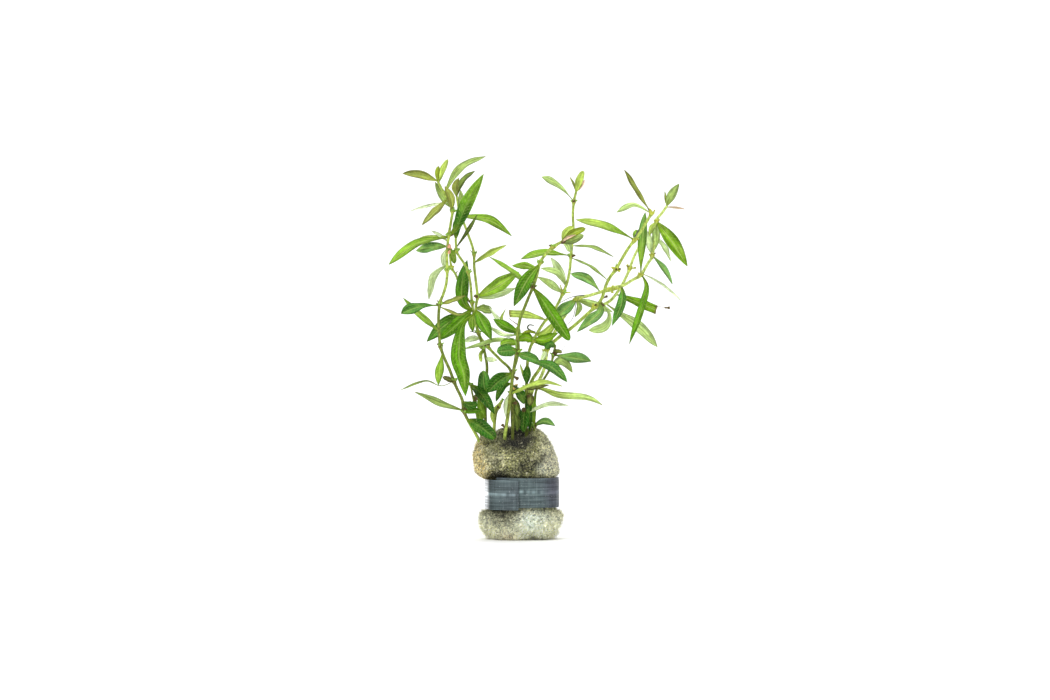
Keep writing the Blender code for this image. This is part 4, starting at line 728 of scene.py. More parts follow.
# Painted shade on the front of the plug: how dark, centre and reach.
FOAM_PAINTED_SHADE = (
    (0.9, (-8.5, 25.4), (4.8, 2.0)),
    (0.6, (3.8, 28.2), (4.8, 4.0)),
    (0.3, (0.5, 34.0), (4.5, 2.5)),
    (0.45, (-4.0, 37.6), (8.0, 2.2)),
    (0.35, (-7.0, 10.6), (6.0, 1.8)),
    (0.55, (-6.4, 8.8), (6.0, 3.4)),
)
# Dark grit and painted shade in the hollow at the plug's top, and where and how much the rest is tinted.
FOAM_HOLLOW_GRIT_AND_SHADE = 2.0
FOAM_HOLLOW_CENTRE = (-0.4, 40.4)
FOAM_HOLLOW_REACH = (5.2, 3.2)
FOAM_HOLLOW_BACK = (9, 12)
FOAM_FOOT_HEIGHTS = (7, 13)
FOAM_FOOT_SHARE = 0.85
FOAM_FOOT_CALM = 0.35
FOAM_FRONT_DEPTHS = (0, 6)
FOAM_PATCH_SCALE = 0.16
FOAM_OLIVE_FROM = (0.05, 0.55)
FOAM_OLIVE_EXTRA = 0.25
FOAM_OLIVE_SHARE = 0.7
FOAM_BLOTCH_SCALE = 0.4
FOAM_BLOTCH_START = Vector((4, 0, 0))
FOAM_BLOTCH_SHARE = 0.5
FOAM_YELLOW_LEFT = (12, 18)
FOAM_YELLOW_HEIGHTS = (20, 25)
FOAM_YELLOW_SHARE = 0.85
FOAM_YELLOW_EDGE_SHARE = 0.8
FOAM_YELLOW_EDGE_CENTRE = (-14.5, 25.5)
FOAM_YELLOW_EDGE_REACH = (3.5, 3.0)
FOAM_PALE_RIGHT = (6, 14)
FOAM_PALE_HEIGHTS = (25, 29)
FOAM_PALE_SHARE = 0.45
# Painted shade in the fold across the upper bulge and in the wide and small pores.
CREASE_PAINTED_SHADE = 0.35
PORE_PAINTED_SHADE = 0.25
SMALL_PORE_PAINTED_SHADE = 0.35
# Dark specks and light flecks on the foam.
SPECK_SCALE = 1.7
SPECK_FROM = (0.0, 0.3)
SPECK_DARKNESS = 0.6
SPECK_FOOT_LOSS = 0.25
FLECK_SCALE = 2.0
FLECK_START = Vector((9, 0, 0))
FLECK_FROM = (0.05, 0.3)
FLECK_SHARE = 0.7
FLECK_DIMMING = 0.8
FOAM_GAIN = 1.45
FOAM_LEAST_GAIN = 0.04

# The strip's colours, and where it is dull, shaded, painted with a highlight at its left end and along a
# line, and grained: X in millimetres, heights as shares of its width, and for each noise its scales and
# its layer.
LEAD_COLOUR = (0.098, 0.132, 0.136)
LEAD_DARK = (0.064, 0.066, 0.086)
LEAD_BRIGHT = (0.700, 0.720, 0.740)
LEAD_DULL_NOISE = ((9, 0.8), 3)
LEAD_DULL_FROM = (-0.2, 0.5)
LEAD_DULL_SHARE = 0.4
LEAD_SHADED_RIGHT = (8, 14)
LEAD_SHADED_SHARE = 0.6
# Where and how much the strip's left end is painted with a highlight.
LEAD_END_HIGHLIGHT_LEFT = (11.2, 12.4)
LEAD_END_HIGHLIGHT_SHARE = 0.9
LEAD_END_LEFT = (9, 11)
LEAD_END_DARKNESS = 0.3
LEAD_HIGHLIGHT_AT = 0.53
LEAD_HIGHLIGHT_HALF_WIDTH = 0.045
LEAD_HIGHLIGHT_GAIN = 2.2
LEAD_HIGHLIGHT_LEAST = 0.6
LEAD_HIGHLIGHT_BREAK_NOISE = ((0.6, 0), 0)
LEAD_EDGE_FROM = (0.9, 1.0)
LEAD_EDGE_GAIN = 0.4
LEAD_GRAIN_NOISE = ((0.8, 16), 7)
LEAD_GRAIN_GAIN = 0.14

# Noise of the materials: scale, detail and, where it is drawn out, its stretch.
LEAF_MOTTLE = (700.0, 3.0)
LEAF_SPECKLES = (1500.0, 2.0)
LEAF_STREAKS = (1.0, 3.0)
STEM_MOTTLE = (1500.0, 3.0)
STEM_STREAKS = (2600.0, 2.0, (1, 1, 0.12))
FOAM_GRAIN = (5200.0, 3.0)
LEAD_LINES = (2200.0, 3.0, (0.03, 0.03, 1))
LEAD_BLOTCHES = (260.0, 4.0)
LEAD_SPECKS = (2400.0, 2.0, (0.6, 0.6, 1))
LEAD_THREADS = (1600.0, 2.0, (1, 1, 0.06))
STUDIO_GRAIN = (60.0, 2.0)
# How those turn into colour and roughness: from and to which value, and what comes out there.
MOTTLE_GAIN = (0.34, 0.66, 0.86, 1.14)
SPECKLE_SHARE = (0.6, 0.72, 0.0, 0.3)
LEAF_STREAK_GAIN = (0.34, 0.66, 0.58, 1.5)
STEM_STREAK_GAIN = (0.3, 0.7, 0.7, 1.3)
STRUT_SHARE = (0.03, 0.25, 1.0, 0.0)
# Painted shade in the middles of the foam's cells and painted light on their struts.
STRUT_LIGHT_AND_PORE_SHADE = (0.0, 1.0, 0.7, 1.3)
CELL_GAIN = (0.0, 1.0, 0.45, 1.5)
CALM_SHARE = (0.3, 1.0, 0.0, 0.6)
DOT_SHARE = (0.82, 0.9, 0.0, 0.8)
# Painted glints on a few of the foam's cells.
GLINT_SHARE = (0.95, 0.97, 0.0, 0.9)
SPECK_SHARE = (0.66, 0.74, 0.0, 0.35)
WEAVE_GAIN = (0.34, 0.66, 0.6, 1.5)
LEAF_ROUGHNESS = (0.3, 0.7, 0.36, 0.55)
STEM_ROUGHNESS = (0.3, 0.7, 0.4, 0.56)
FOAM_ROUGHNESS = (0.4, 0.7, 0.8, 0.35)
LEAD_ROUGHNESS = (0.3, 0.7, 0.36, 0.6)
STUDIO_ROUGHNESS = (0.2, 0.8, 0.85, 0.95)
# The leaves' own maps run from 0 to 1 across, with the midrib at 0.5, and in millimetres along.
MIDRIB_AT = 0.5
MIDRIB_REACH = (0.018, 0.085)
VEIN_SLANT = 5.0
VEIN_RATE = 4.2
VEIN_CREST = (0.75, 1.0, 0.0, 1.0)
VEIN_SHARE = 0.14
STREAK_STRETCH = (10.0, 0.12, 0.0)
STREAK_START_SCALES = (40.0, 40.0, 40.0)
UNDERSIDE_RIB_SHARE = 0.55
UNDERSIDE_WASH = 0.45
SKIN_WASH = 0.15
# The materials' relief in millimetres, and how much the leaf's mottles, veins and midrib make of it.
LEAF_RELIEF = 0.2
STEM_RELIEF = 0.08
FOAM_RELIEF = 0.2
LEAD_RELIEF = 0.1
MOTTLE_HEIGHT = 0.5
VEIN_DEPTH = 0.35
MIDRIB_DEPTH = 0.8
FOAM_CELL_SCALE = 1800.0
CALM_FACTOR = (0.97, 0.98, 1.0)
DOT_FACTOR = (1.9, 1.85, 1.7)
LINE_WEIGHT = 0.7
THREAD_WEIGHT = 0.3
BLOTCH_HEIGHT = 0.5
LEAF_SPECULAR = 0.08
STEM_SPECULAR = 0.2
LEAD_METALLIC = 0.75
STUDIO_GREYS = ((0.93, 0.93, 0.93), (0.95, 0.95, 0.95))

random.seed(7)


def smoothstep(low, high, value):
    """0 below low, 1 above high, and a smooth rise between them."""
    share = min(1.0, max(0.0, (value - low) / (high - low)))
    return share * share * (3 - 2 * share)


def mix(first, second, share):
    """A colour that share of the way from the first to the second."""
    return tuple(a + (b - a) * share for a, b in zip(first, second))


def shade(colour, factor):
    """A colour made darker or lighter."""
    return tuple(part * factor for part in colour)


def curve_point(points, segment, share):
    """The point at that share of a segment of the smooth curve that runs through the points."""
    before = points[max(segment - 1, 0)]
    start = points[segment]
    end = points[segment + 1]
    after = points[min(segment + 2, len(points) - 1)]
    bend = 2 * before - 5 * start + 4 * end - after
    turn = 3 * (start - end) + after - before
    return start + 0.5 * share * ((end - before) + share * (bend + share * turn))


def smooth_route(points, step):
    """Points at most one step apart along the smooth curve through the points, which it keeps."""
    route = []
    for segment in range(len(points) - 1):
        length = (points[segment + 1] - points[segment]).length
        pieces = max(1, math.ceil(length / step))
        route += [curve_point(points, segment, i / pieces) for i in range(pieces)]
    return route + [points[-1]]


def route_length(route):
    """The length of a route."""
    return sum((after - before).length for before, after in zip(route, route[1:]))


def point_at(route, distance):
    """The point that far along a route."""
    distance = max(0.0, distance)
    for before, after in zip(route, route[1:]):
        step = (after - before).length
        if distance <= step:
            return before.lerp(after, distance / step)
        distance -= step
    return route[-1]


def add_piece(name, verts, faces, tones, places, materials, nodes, slot):
    """A piece that stands for those CAD nodes, from points in millimetres and a colour at each."""
    mesh = bpy.data.meshes.new(name)
    mesh.from_pydata([vert * MM for vert in verts], [], faces)
    attribute = mesh.color_attributes.new("tone", "FLOAT_COLOR", "POINT")
    attribute.data.foreach_set("color", [part for tone in tones for part in (*tone, 1.0)])
    if places:
        layer = mesh.uv_layers.new(name="UVMap")
        for loop in mesh.loops:
            layer.data[loop.index].uv = places[loop.vertex_index]
    for each in materials:
        mesh.materials.append(each)
    piece = bpy.data.objects.new(name, mesh)
    bpy.context.scene.collection.objects.link(piece)
    mesh.shade_smooth()
    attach(piece, "root")
    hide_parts(*nodes)
    return piece


def add_thickness(piece, thickness):
    """Makes a sheet that thick, half to each side."""
    shell = piece.modifiers.new("thickness", "SOLIDIFY")
    shell.thickness = thickness * MM
    shell.offset = 0.0
    return shell


def grid_faces(rows, columns, closed):
    """The faces between rows of corners, each row a closed ring or open at its ends."""
    faces = []
    for row in range(rows - 1):
        for column in range(columns if closed else columns - 1):
            low = row * columns + column
            after = row * columns + (column + 1) % columns
            faces.append((low, after, after + columns, low + columns))
    return faces


def tube(points, radii, sides):
    """The corners, faces and UV places of a closed tube along the points."""
    verts = []
    places = []
    side = None
    travelled = 0.0
    for i, (point, radius) in enumerate(zip(points, radii)):
        along = (points[min(i + 1, len(points) - 1)] - points[max(i - 1, 0)]).normalized()
        if side is None:
            side = along.orthogonal().normalized()
        side = (side - along * side.dot(along)).normalized()
        across = along.cross(side)
        if i:
            travelled += (point - points[i - 1]).length
        for k in range(sides):
            turn = 2 * math.pi * k / sides
            verts.append(point + (side * math.cos(turn) + across * math.sin(turn)) * radius)
            places.append((abs(2 * k / sides - 1), travelled))
    last = (len(points) - 1) * sides
    faces = grid_faces(len(points), sides, True)
    faces.append(tuple(reversed(range(sides))))
    faces.append(tuple(range(last, last + sides)))
    return verts, faces, places


def join(parts):
    """One list of corners, faces, tones and UV places from several."""
    verts = []
    faces = []
    tones = []
    places = []
    for part_verts, part_faces, part_tones, part_places in parts:
        start = len(verts)
        verts += part_verts
        faces += [tuple(start + corner for corner in face) for face in part_faces]
        tones += part_tones
        places += part_places
    return verts, faces, tones, places


def stem_route(stem):
    """The stem's middle line as closely spaced points."""
    return smooth_route([Vector(point) for point in stem.path], STEM_STEP)


def node_share(stem, height):
    """1 at a node of the stem and 0 well away from each of them."""
    return max(math.exp(-(((height - node) / NODE_HALF_LENGTH) ** 2)) for node in stem.nodes)


def stem_radius(stem, share, point):
    """The radius at a point of the stem, thicker at its nodes and a little uneven."""
    radius = stem.radius * (1 - (1 - STEM_TAPER) * share)
    uneven = STEM_UNEVENNESS * noise.noise(point * STEM_UNEVEN_SCALE)
    return radius * (1 + NODE_SWELL * node_share(stem, point.z) + uneven)


def stem_tone(name, stem, point, side):
    """The colour at a point of the stem: pale in some stretches, browner at its nodes and low down."""
    pale = 0.0
    for low, high in PALE_STRETCHES.get(name, ()):
        above = smoothstep(low - PALE_EDGE, low + PALE_EDGE, point.z)
        below = 1 - smoothstep(high - PALE_EDGE, high + PALE_EDGE, point.z)
        pale = max(pale, above * below)
    paler = STEM_COLOURS["pale" if stem.colour == "light" else "light"]
    base = mix(STEM_COLOURS[stem.colour], paler, STEM_PALENESS * pale)
    turned = Vector((side * STEM_PATCH_TURN, 0, 0))
    patch = smoothstep(*STEM_PATCH_FROM, noise.noise(point * STEM_PATCH_SCALE + turned))
    low = 1 - smoothstep(*STEM_BROWN_HEIGHTS, point.z)
    brown = STEM_PATCH_SHARE * patch * (STEM_PATCH_LEAST + low) + STEM_LOW_SHARE * low
    tone = mix(base, STEM_BROWN, brown * (1 - pale))
    node = mix(NODE_COLOURS[stem.colour], NODE_COLOURS["light"], NODE_PALENESS * pale)
    tone = mix(tone, node, NODE_TONE_SHARE * node_share(stem, point.z) ** NODE_TONE_POWER)
    return shade(tone, 1 + STEM_SPECKLE * noise.noise(point * STEM_SPECKLE_SCALE))


def add_stem(name, stem, skin):
    """A stem as a fine tube with swollen nodes."""
    route = stem_route(stem)
    last = len(route) - 1
    radii = [stem_radius(stem, i / last, point) for i, point in enumerate(route)]
    radii[-1] *= STEM_TIP_SHARE
    verts, faces, places = tube(route, radii, STEM_SIDES)
    tones = [stem_tone(name, stem, vert, i % STEM_SIDES) for i, vert in enumerate(verts)]
    slot = "stem_" + stem.colour
    add_piece(name + "_fine", verts, faces, tones, places, [skin], [name + "_stem"], slot)


def root_on_stem(stem, place):
    """The point of the stem's middle line nearest to a place given in X and Z."""
    flat = Vector((place[0], 0, place[1]))
    return min(stem_route(stem), key=lambda point: (Vector((point.x, 0, point.z)) - flat).length)


def leaf_route(leaf, root):
    """A leaf's middle line from its root to its tip, as closely spaced points."""
    flat = [Vector((x, 0.0, z)) for x, z in leaf.route]
    flat[0] = Vector((root.x, 0.0, root.z))
    route = smooth_route(flat, CURVE_STEP)
    whole = route_length(route)
    middle, tip = leaf.depths
    travelled = 0.0
    before = route[0].copy()
    for point in route:
        travelled += (Vector((point.x, 0, point.z)) - Vector((before.x, 0, before.z))).length
        before = point.copy()
        share = travelled / whole
        point.y = root.y + 4 * middle * share * (1 - share) + tip * share * (2 * share - 1)
    return route


def width_share(shape, share):
    """How wide a leaf is at that share of its length, as a share of its full width."""
    if shape in LEAF_SKEWS:
        wave = math.sin(math.pi * share ** LEAF_SKEWS[shape]) if 0 < share < 1 else 0.0
        swell = wave ** LEAF_FULLNESS
    elif shape == "blunt":
        tip = max(0.0, 1 - share ** BLUNT_TIP_POWER) ** 0.5
        swell = min(1.0, share / BLUNT_FULL_FROM) ** BLUNT_FULLNESS * tip
    else:
        swell = min(1.0, share / CUT_FULL_FROM) ** CUT_FULLNESS
    least = LEAF_BASE_SHARE + (LEAF_TIP_SHARE - LEAF_BASE_SHARE) * share
    return max(least, swell)


def leaf_tone(leaf, share, across, point, whim):
    """The colour at a point of a leaf: patchy, with painted light on one half and painted shade on the
    other, darker at the rim.
    """
    shading = DEEP_SHADING if leaf.colour in DEEP_COLOURS else PLAIN_SHADING
    base = shade(COLOURS[leaf.colour], whim["lightness"])
    base = mix(base, COLOURS[whim["far"]], FAR_SHARE * smoothstep(*FAR_FROM, share))
    patch = noise.noise(point * LEAF_PATCH_SCALE + whim["offset"])
    fine = noise.noise(point * LEAF_FINE_SCALE + whim["offset"])
    # Painted light on one half of the leaf and painted shade on the other.
    lit_half = whim["lit_half"] * math.tanh(LIT_HALF_SHARPNESS * across)
    tone = shade(base, LEAF_GAIN + LEAF_PATCH_GAIN * patch + LEAF_FINE_GAIN * fine + lit_half)
    middle = shade(mix(base, COLOURS["light"], shading.rib_light), shading.rib_gain)
    tone = mix(tone, middle, shading.rib_share * (1 - smoothstep(*RIB_REACH, abs(across))))
    blotch = smoothstep(*BLOTCH_FROM, noise.noise(point * BLOTCH_SCALE - whim["offset"]))
    tone = mix(tone, COLOURS["light"], shading.blotch_share * blotch)
    tone = mix(tone, COLOURS["straw"], ROOT_SHARE * (1 - smoothstep(*ROOT_REACH, share)))
    rim = shade(base, DARK_RIM_GAIN if leaf.colour == "dark" else RIM_GAIN)
    tone = mix(tone, rim, RIM_SHARE * smoothstep(*RIM_FROM, abs(across)))
    if leaf.shape == "cut":
        ragged = CUT_TOOTH_DEPTH * math.sin(CUT_TEETH * across)
        return mix(tone, CUT_COLOUR, smoothstep(*CUT_FROM, share + ragged))
    return mix(tone, CUT_COLOUR, whim["tip"] * smoothstep(*TIP_FROM, share))


def leaf_parts(leaf, root, whim):
    """The corners, faces, tones and UV places of a leaf's surface."""
    route = leaf_route(leaf, root)
    length = route_length(route)
    rows = max(LEAF_LEAST_ROWS, math.ceil(length / LEAF_STEP))
    tilt = math.radians(leaf.tilt)
    turn_side = math.copysign(1.0, (route[-1] - route[0]).cross(TO_VIEWER).z)
    verts = []
    tones = []
    places = []
    for row in range(rows + 1):
        share = row / rows
        place = point_at(route, share * length)
        ahead = point_at(route, share * length + CURVE_STEP)
        behind = point_at(route, share * length - CURVE_STEP)
        along = (ahead - behind).normalized()
        turned = tilt + math.radians(whim["twist"]) * (share - LEAF_TWIST_CENTRE)
        level = along.cross(TO_VIEWER).normalized()
        face = level.cross(along) * math.cos(turned) + level * math.sin(turned) * turn_side
        side = along.cross(face)
        half = 0.5 * leaf.width / math.cos(tilt) * width_share(leaf.shape, share)
        for across in LEAF_ACROSS:
            away = abs(across)
            fold = LEAF_FOLD * (math.hypot(away, LEAF_FOLD_ROUNDING) - LEAF_FOLD_ROUNDING)
            crown = LEAF_CROWN * 4 * away * (1 - away)
            waved = 2 * math.pi * (whim["waves"] * share + whim["phase"])
            sway = math.sin(waved + LEAF_WAVE_SLANT * across)
            wave = LEAF_WAVE * sway * away * math.sin(math.pi * share)
            vert = place + side * across * half + face * ((fold + crown) * half + wave)
            verts.append(vert)
            tones.append(leaf_tone(leaf, share, across, vert, whim))
            places.append((0.5 + 0.5 * across, share * length))
    return verts, grid_faces(rows + 1, len(LEAF_ACROSS), False), tones, places


def leaf_whim(far):
    """How one leaf differs from the next."""
    return {
        "far": far,
        "lit_half": random.choice(LIT_HALF_GAINS),
        "lightness": random.uniform(*LEAF_GAINS),
        "offset": Vector([random.uniform(0, LEAF_NOISE_REACH) for axis in range(3)]),
        "twist": random.uniform(-LEAF_TWIST_DEGREES, LEAF_TWIST_DEGREES),
        "waves": random.uniform(*LEAF_WAVES),
        "phase": random.random(),
        "tip": random.choice(BROWN_TIP_SHARES),
    }


def add_leaf(name, leaf, stem, node, underside):
    """A leaf as a thin folded blade, paler on the side that faces down."""
    whim = leaf_whim(FAR_COLOURS.get(node, leaf.colour))
    parts = leaf_parts(leaf, root_on_stem(stem, leaf.route[0]), whim)
    skins = [leaf_skin(leaf.colour), underside]
    if leaf.tilt < 0:
        skins.reverse()
    slot = "leaf_" + SLOT_COLOURS.get(leaf.colour, leaf.colour)
    piece = add_piece(name, *parts, skins, [node], slot)
    add_thickness(piece, LEAF_THICKNESS).material_offset = 1


def add_twigs(name, stem, skin):
    """The small things on a stem: buds, stubs of lost leaves, threads and broken ends."""
    parts = []
    for twig in TWIGS[name]:
        root = root_on_stem(stem, twig.route[0])
        points = [Vector((x, 0.0, z)) for x, z in twig.route]
        for i, point in enumerate(points):
            point.y = root.y + twig.start + twig.depth * i / max(1, len(points) - 1)
        parts.append(twig_parts(points, twig.form, twig.radius, TWIG_COLOURS[twig.colour]))
    for node in stem.nodes:
        parts += bud_parts(stem, node)
    slot = "stem_" + stem.colour
    add_piece(name + "_twigs", *join(parts), [skin], [name + "_stem"], slot)


def twig_parts(points, form, radius, colour):
    """The corners, faces, tones and UV places of one small thing along the points."""
    route = smooth_route(points, TWIG_STEP)
    last = len(route) - 1
    radii = [radius * twig_share(form, i / last) for i in range(last + 1)]
    verts, faces, places = tube(route, radii, TWIG_SIDES)
    speckles = [noise.noise(vert * TWIG_SPECKLE_SCALE) for vert in verts]
    return verts, faces, [shade(colour, 1 + TWIG_SPECKLE * each) for each in speckles], places


def bud_parts(stem, height):
    """A few small buds round the stem at a node of that height."""
    root = min(stem_route(stem), key=lambda point: abs(point.z - height))
    parts = []
    first = random.uniform(*BUD_FIRST_DEGREES)
    for k in range(BUD_COUNT):
        apart = random.uniform(-BUD_SPREAD_DEGREES, BUD_SPREAD_DEGREES)
        turn = math.radians(first + 360 / BUD_COUNT * k + apart)
        length = random.uniform(*BUD_LENGTH)
        out = Vector((math.cos(turn), math.sin(turn), random.uniform(*BUD_RISE))).normalized()
        start = Vector((0, 0, random.uniform(*BUD_START)))
        low = root + out * stem.radius * BUD_ROOT_SHARE + start
        high = low + out * length
        radius = random.uniform(*BUD_RADIUS)
        browned = random.random() < BROWN_BUD_SHARES[stem.colour]
        colour = TWIG_COLOURS["brown" if browned else BUD_COLOURS[stem.colour]]
        parts.append(twig_parts([low, high], random.choice(("bud", "stub")), radius, colour))
    return parts


def twig_share(form, share):
    """How thick a small thing is at that share of its length."""
    if form == "bud":
        swell = (BUD_FOOT + (1 - BUD_FOOT) * share) ** BUD_FULLNESS
        return max(BUD_TIP_SHARE, math.sin(math.pi * swell))
    if form == "knob":
        swell = KNOB_SWELL * smoothstep(*KNOB_SWELL_FROM, share)
        return KNOB_NECK + swell - KNOB_ROUNDING * smoothstep(*KNOB_ROUNDING_FROM, share)
    return 1 - THREAD_TAPER * share


def oval_point(centre, half_width, half_depth, turn):
    """A point of a rounded oval, at that angle round it, as X and Y."""
    power = 2 / FOAM_SQUARENESS
    x = math.copysign(abs(math.cos(turn)) ** power, math.cos(turn))
    y = math.copysign(abs(math.sin(turn)) ** power, math.sin(turn))
    return centre + half_width * x, half_depth * y


def hill(x, y, centre, reach):
    """The height of a smooth hill of height 1 round a centre."""
    return math.exp(-((x - centre[0]) / reach[0]) ** 2 - ((y - centre[1]) / reach[1]) ** 2)


def foam_offset(x, y, height):
    """How far the plug lies above or below its ring: lobes and a dip on top, a sag at the left."""
    lobe = FOAM_LOBE_HEIGHT * hill(x, y, FOAM_LOBE_CENTRE, FOAM_LOBE_REACH)
    back = FOAM_BACK_HEIGHT * hill(x, y, FOAM_BACK_CENTRE, FOAM_BACK_REACH)
    dip = FOAM_DIP_DEPTH * hill(x, y, FOAM_DIP_CENTRE, FOAM_DIP_REACH)
    share = min(1.0, max(0.0, (height - FOAM_RIM_FROM) / FOAM_RIM_REACH))
    low, full, fading, end = FOAM_SAG_HEIGHTS
    sag = smoothstep(low, full, height) * (1 - smoothstep(fading, end, height))
    return share * (lobe + back - dip) - FOAM_SAG_DEPTH * sag * smoothstep(*FOAM_SAG_LEFT, -x)


def foam_rows():
    """The plug's rings at close spacing, with the shrinking ones that close its foot and top."""
    rings = [Vector(ring) for ring in FOAM_RINGS]
    rows = []
    foot = rings[0]
    steps = math.ceil(0.5 * (foot[2] - foot[1]) / FOAM_ROW_STEP)
    rows += [(foot, i / steps) for i in range(1, steps)]
    for segment in range(len(rings) - 1):
        change = rings[segment + 1] - rings[segment]
        run = math.hypot(change[0], 0.5 * (abs(change[1]) + abs(change[2])))
        pieces = max(1, math.ceil(run / FOAM_ROW_STEP))
        rows += [(curve_point(rings, segment, i / pieces), 1.0) for i in range(pieces)]
    top = rings[-1]
    steps = math.ceil(0.5 * (top[2] - top[1]) / FOAM_ROW_STEP)
    rows += [(top, 1 - i / steps) for i in range(steps)]
    return rows


def pore(point):
    """How deep the foam's pores are at a point: 0 on a strut and 1 in the middle of a cell."""
    wide = noise.voronoi(point / PORE_SIZE)[0]
    small = noise.voronoi(point / SMALL_PORE_SIZE)[0]
    return smoothstep(*PORE_WALL, wide[1] - wide[0]), smoothstep(*PORE_WALL, small[1] - small[0])


def crease(point):
    """How deep the fold across the front of the upper bulge is at a point, from 0 to 1."""
    if point.y > 0:
        return 0.0
    left, height = CREASE_START
    wave = CREASE_WAVE * math.sin(CREASE_WAVE_RATE * point.x)
    line = height + CREASE_RISE * (point.x - left) + wave
    reach = smoothstep(*CREASE_LEFT, point.x) * (1 - smoothstep(*CREASE_RIGHT, point.x))
    return reach * math.exp(-(((point.z - line) / CREASE_HALF_WIDTH) ** 2))


def foam_tone(point, wide, small):
    """The foam's colour: yellowed at the left, pale at the foot, with painted shade in its pores, its
    fold and patches on its front, and dark grit and painted shade in its hollow.
    """
    patch = noise.noise(point * FOAM_PATCH_SCALE)
    blotch = noise.noise(point * FOAM_BLOTCH_SCALE + FOAM_BLOTCH_START)
    olive = smoothstep(*FOAM_OLIVE_FROM, patch + FOAM_OLIVE_EXTRA)
    tone = mix(FOAM_COLOUR, FOAM_OLIVE, FOAM_OLIVE_SHARE * olive)
    edge = hill(point.x, point.z, FOAM_YELLOW_EDGE_CENTRE, FOAM_YELLOW_EDGE_REACH)
    yellow = smoothstep(*FOAM_YELLOW_LEFT, -point.x) + FOAM_YELLOW_EDGE_SHARE * edge
    yellow = FOAM_YELLOW_SHARE * min(1.0, yellow) * smoothstep(*FOAM_YELLOW_HEIGHTS, point.z)
    tone = mix(tone, FOAM_YELLOW, yellow)
    faded = FOAM_PALE_SHARE * smoothstep(*FOAM_PALE_RIGHT, point.x)
    tone = mix(tone, FOAM_PALE, faded * smoothstep(*FOAM_PALE_HEIGHTS, point.z))
    low = 1 - smoothstep(*FOAM_FOOT_HEIGHTS, point.z)
    tone = mix(tone, FOAM_FOOT, FOAM_FOOT_SHARE * low)
    front = 1 - smoothstep(*FOAM_FRONT_DEPTHS, point.y)
    for colour, share, centre, reach in FOAM_PATCHES:
        tone = mix(tone, colour, front * share * hill(point.x, point.z, centre, reach))
    # Painted shade in the pores and in the fold.
    pore_shade = PORE_PAINTED_SHADE * wide + SMALL_PORE_PAINTED_SHADE * small
    dark = CREASE_PAINTED_SHADE * crease(point) + pore_shade * (1 - FOAM_FOOT_CALM * low)
    # Painted shade in patches on the front of the plug.
    for share, centre, reach in FOAM_PAINTED_SHADE:
        dark += front * share * hill(point.x, point.z, centre, reach)
    # Dark grit and painted shade in the hollow at the top.
    hollow_grit_and_shade = FOAM_HOLLOW_GRIT_AND_SHADE * hill(point.x, point.z, FOAM_HOLLOW_CENTRE, FOAM_HOLLOW_REACH)
    dark += hollow_grit_and_shade * (1 - smoothstep(*FOAM_HOLLOW_BACK, point.y))
    speck = noise.noise(point * SPECK_SCALE) - FOAM_BLOTCH_SHARE * blotch
    dark += (SPECK_DARKNESS - SPECK_FOOT_LOSS * low) * smoothstep(*SPECK_FROM, speck)
    fleck = noise.noise(point * FLECK_SCALE + FLECK_START) + FOAM_BLOTCH_SHARE * blotch
    light = FLECK_SHARE * smoothstep(*FLECK_FROM, fleck)
    tone = mix(tone, FOAM_CREAM, light * (1 - FLECK_DIMMING * min(1.0, dark)))
    return shade(tone, max(FOAM_LEAST_GAIN, FOAM_GAIN - dark))


def add_foam(skin):
    """The plug as open-cell foam: the smooth form, pressed in at each pore."""
    rows = foam_rows()
    points = []
    for ring, scale in rows:
        middle = 0.5 * (ring[1] + ring[2])
        for i in range(FOAM_POINTS_ROUND):
            turn = 2 * math.pi * i / FOAM_POINTS_ROUND
            x, y = oval_point(middle, 0.5 * (ring[2] - ring[1]) * scale, ring[3] * scale, turn)
            points.append(Vector((x, y, ring[0] + foam_offset(x, y, ring[0]))))
    last = (len(rows) - 1) * FOAM_POINTS_ROUND
    faces = [tuple(reversed(range(FOAM_POINTS_ROUND)))]
    faces += grid_faces(len(rows), FOAM_POINTS_ROUND, True)
    faces.append(tuple(range(last, last + FOAM_POINTS_ROUND)))
    smooth = bpy.data.meshes.new("smooth")
    smooth.from_pydata(points, [], faces)
    normals = [Vector(normal.vector) for normal in smooth.vertex_normals]
    verts = []
    tones = []
    for point, normal in zip(points, normals):
        wide, small = pore(point)
        lump = LUMP_HEIGHT * noise.noise(point / LUMP_SIZE)
        lump += SMALL_LUMP_HEIGHT * noise.noise(point / SMALL_LUMP_SIZE)
        depth = PORE_DEPTH * wide + SMALL_PORE_DEPTH * small + CREASE_DEPTH * crease(point)
        vert = point + normal * (lump + FOAM_SWELL - depth)
        seam = math.exp(-(((point.x - FOAM_SEAM_X) / FOAM_SEAM_HALF_WIDTH) ** 2))
        vert.z += FOAM_SEAM_DEPTH * seam * (1 - smoothstep(*FOAM_SEAM_HEIGHTS, point.z))
        vert.z = max(0.0, vert.z)
        verts.append(vert)
        tones.append(foam_tone(point, wide, small))
    piece = add_piece("foam_fine", verts, faces, tones, None, [skin], ["foam_plug"], "foam")
    return verts, normals, tones


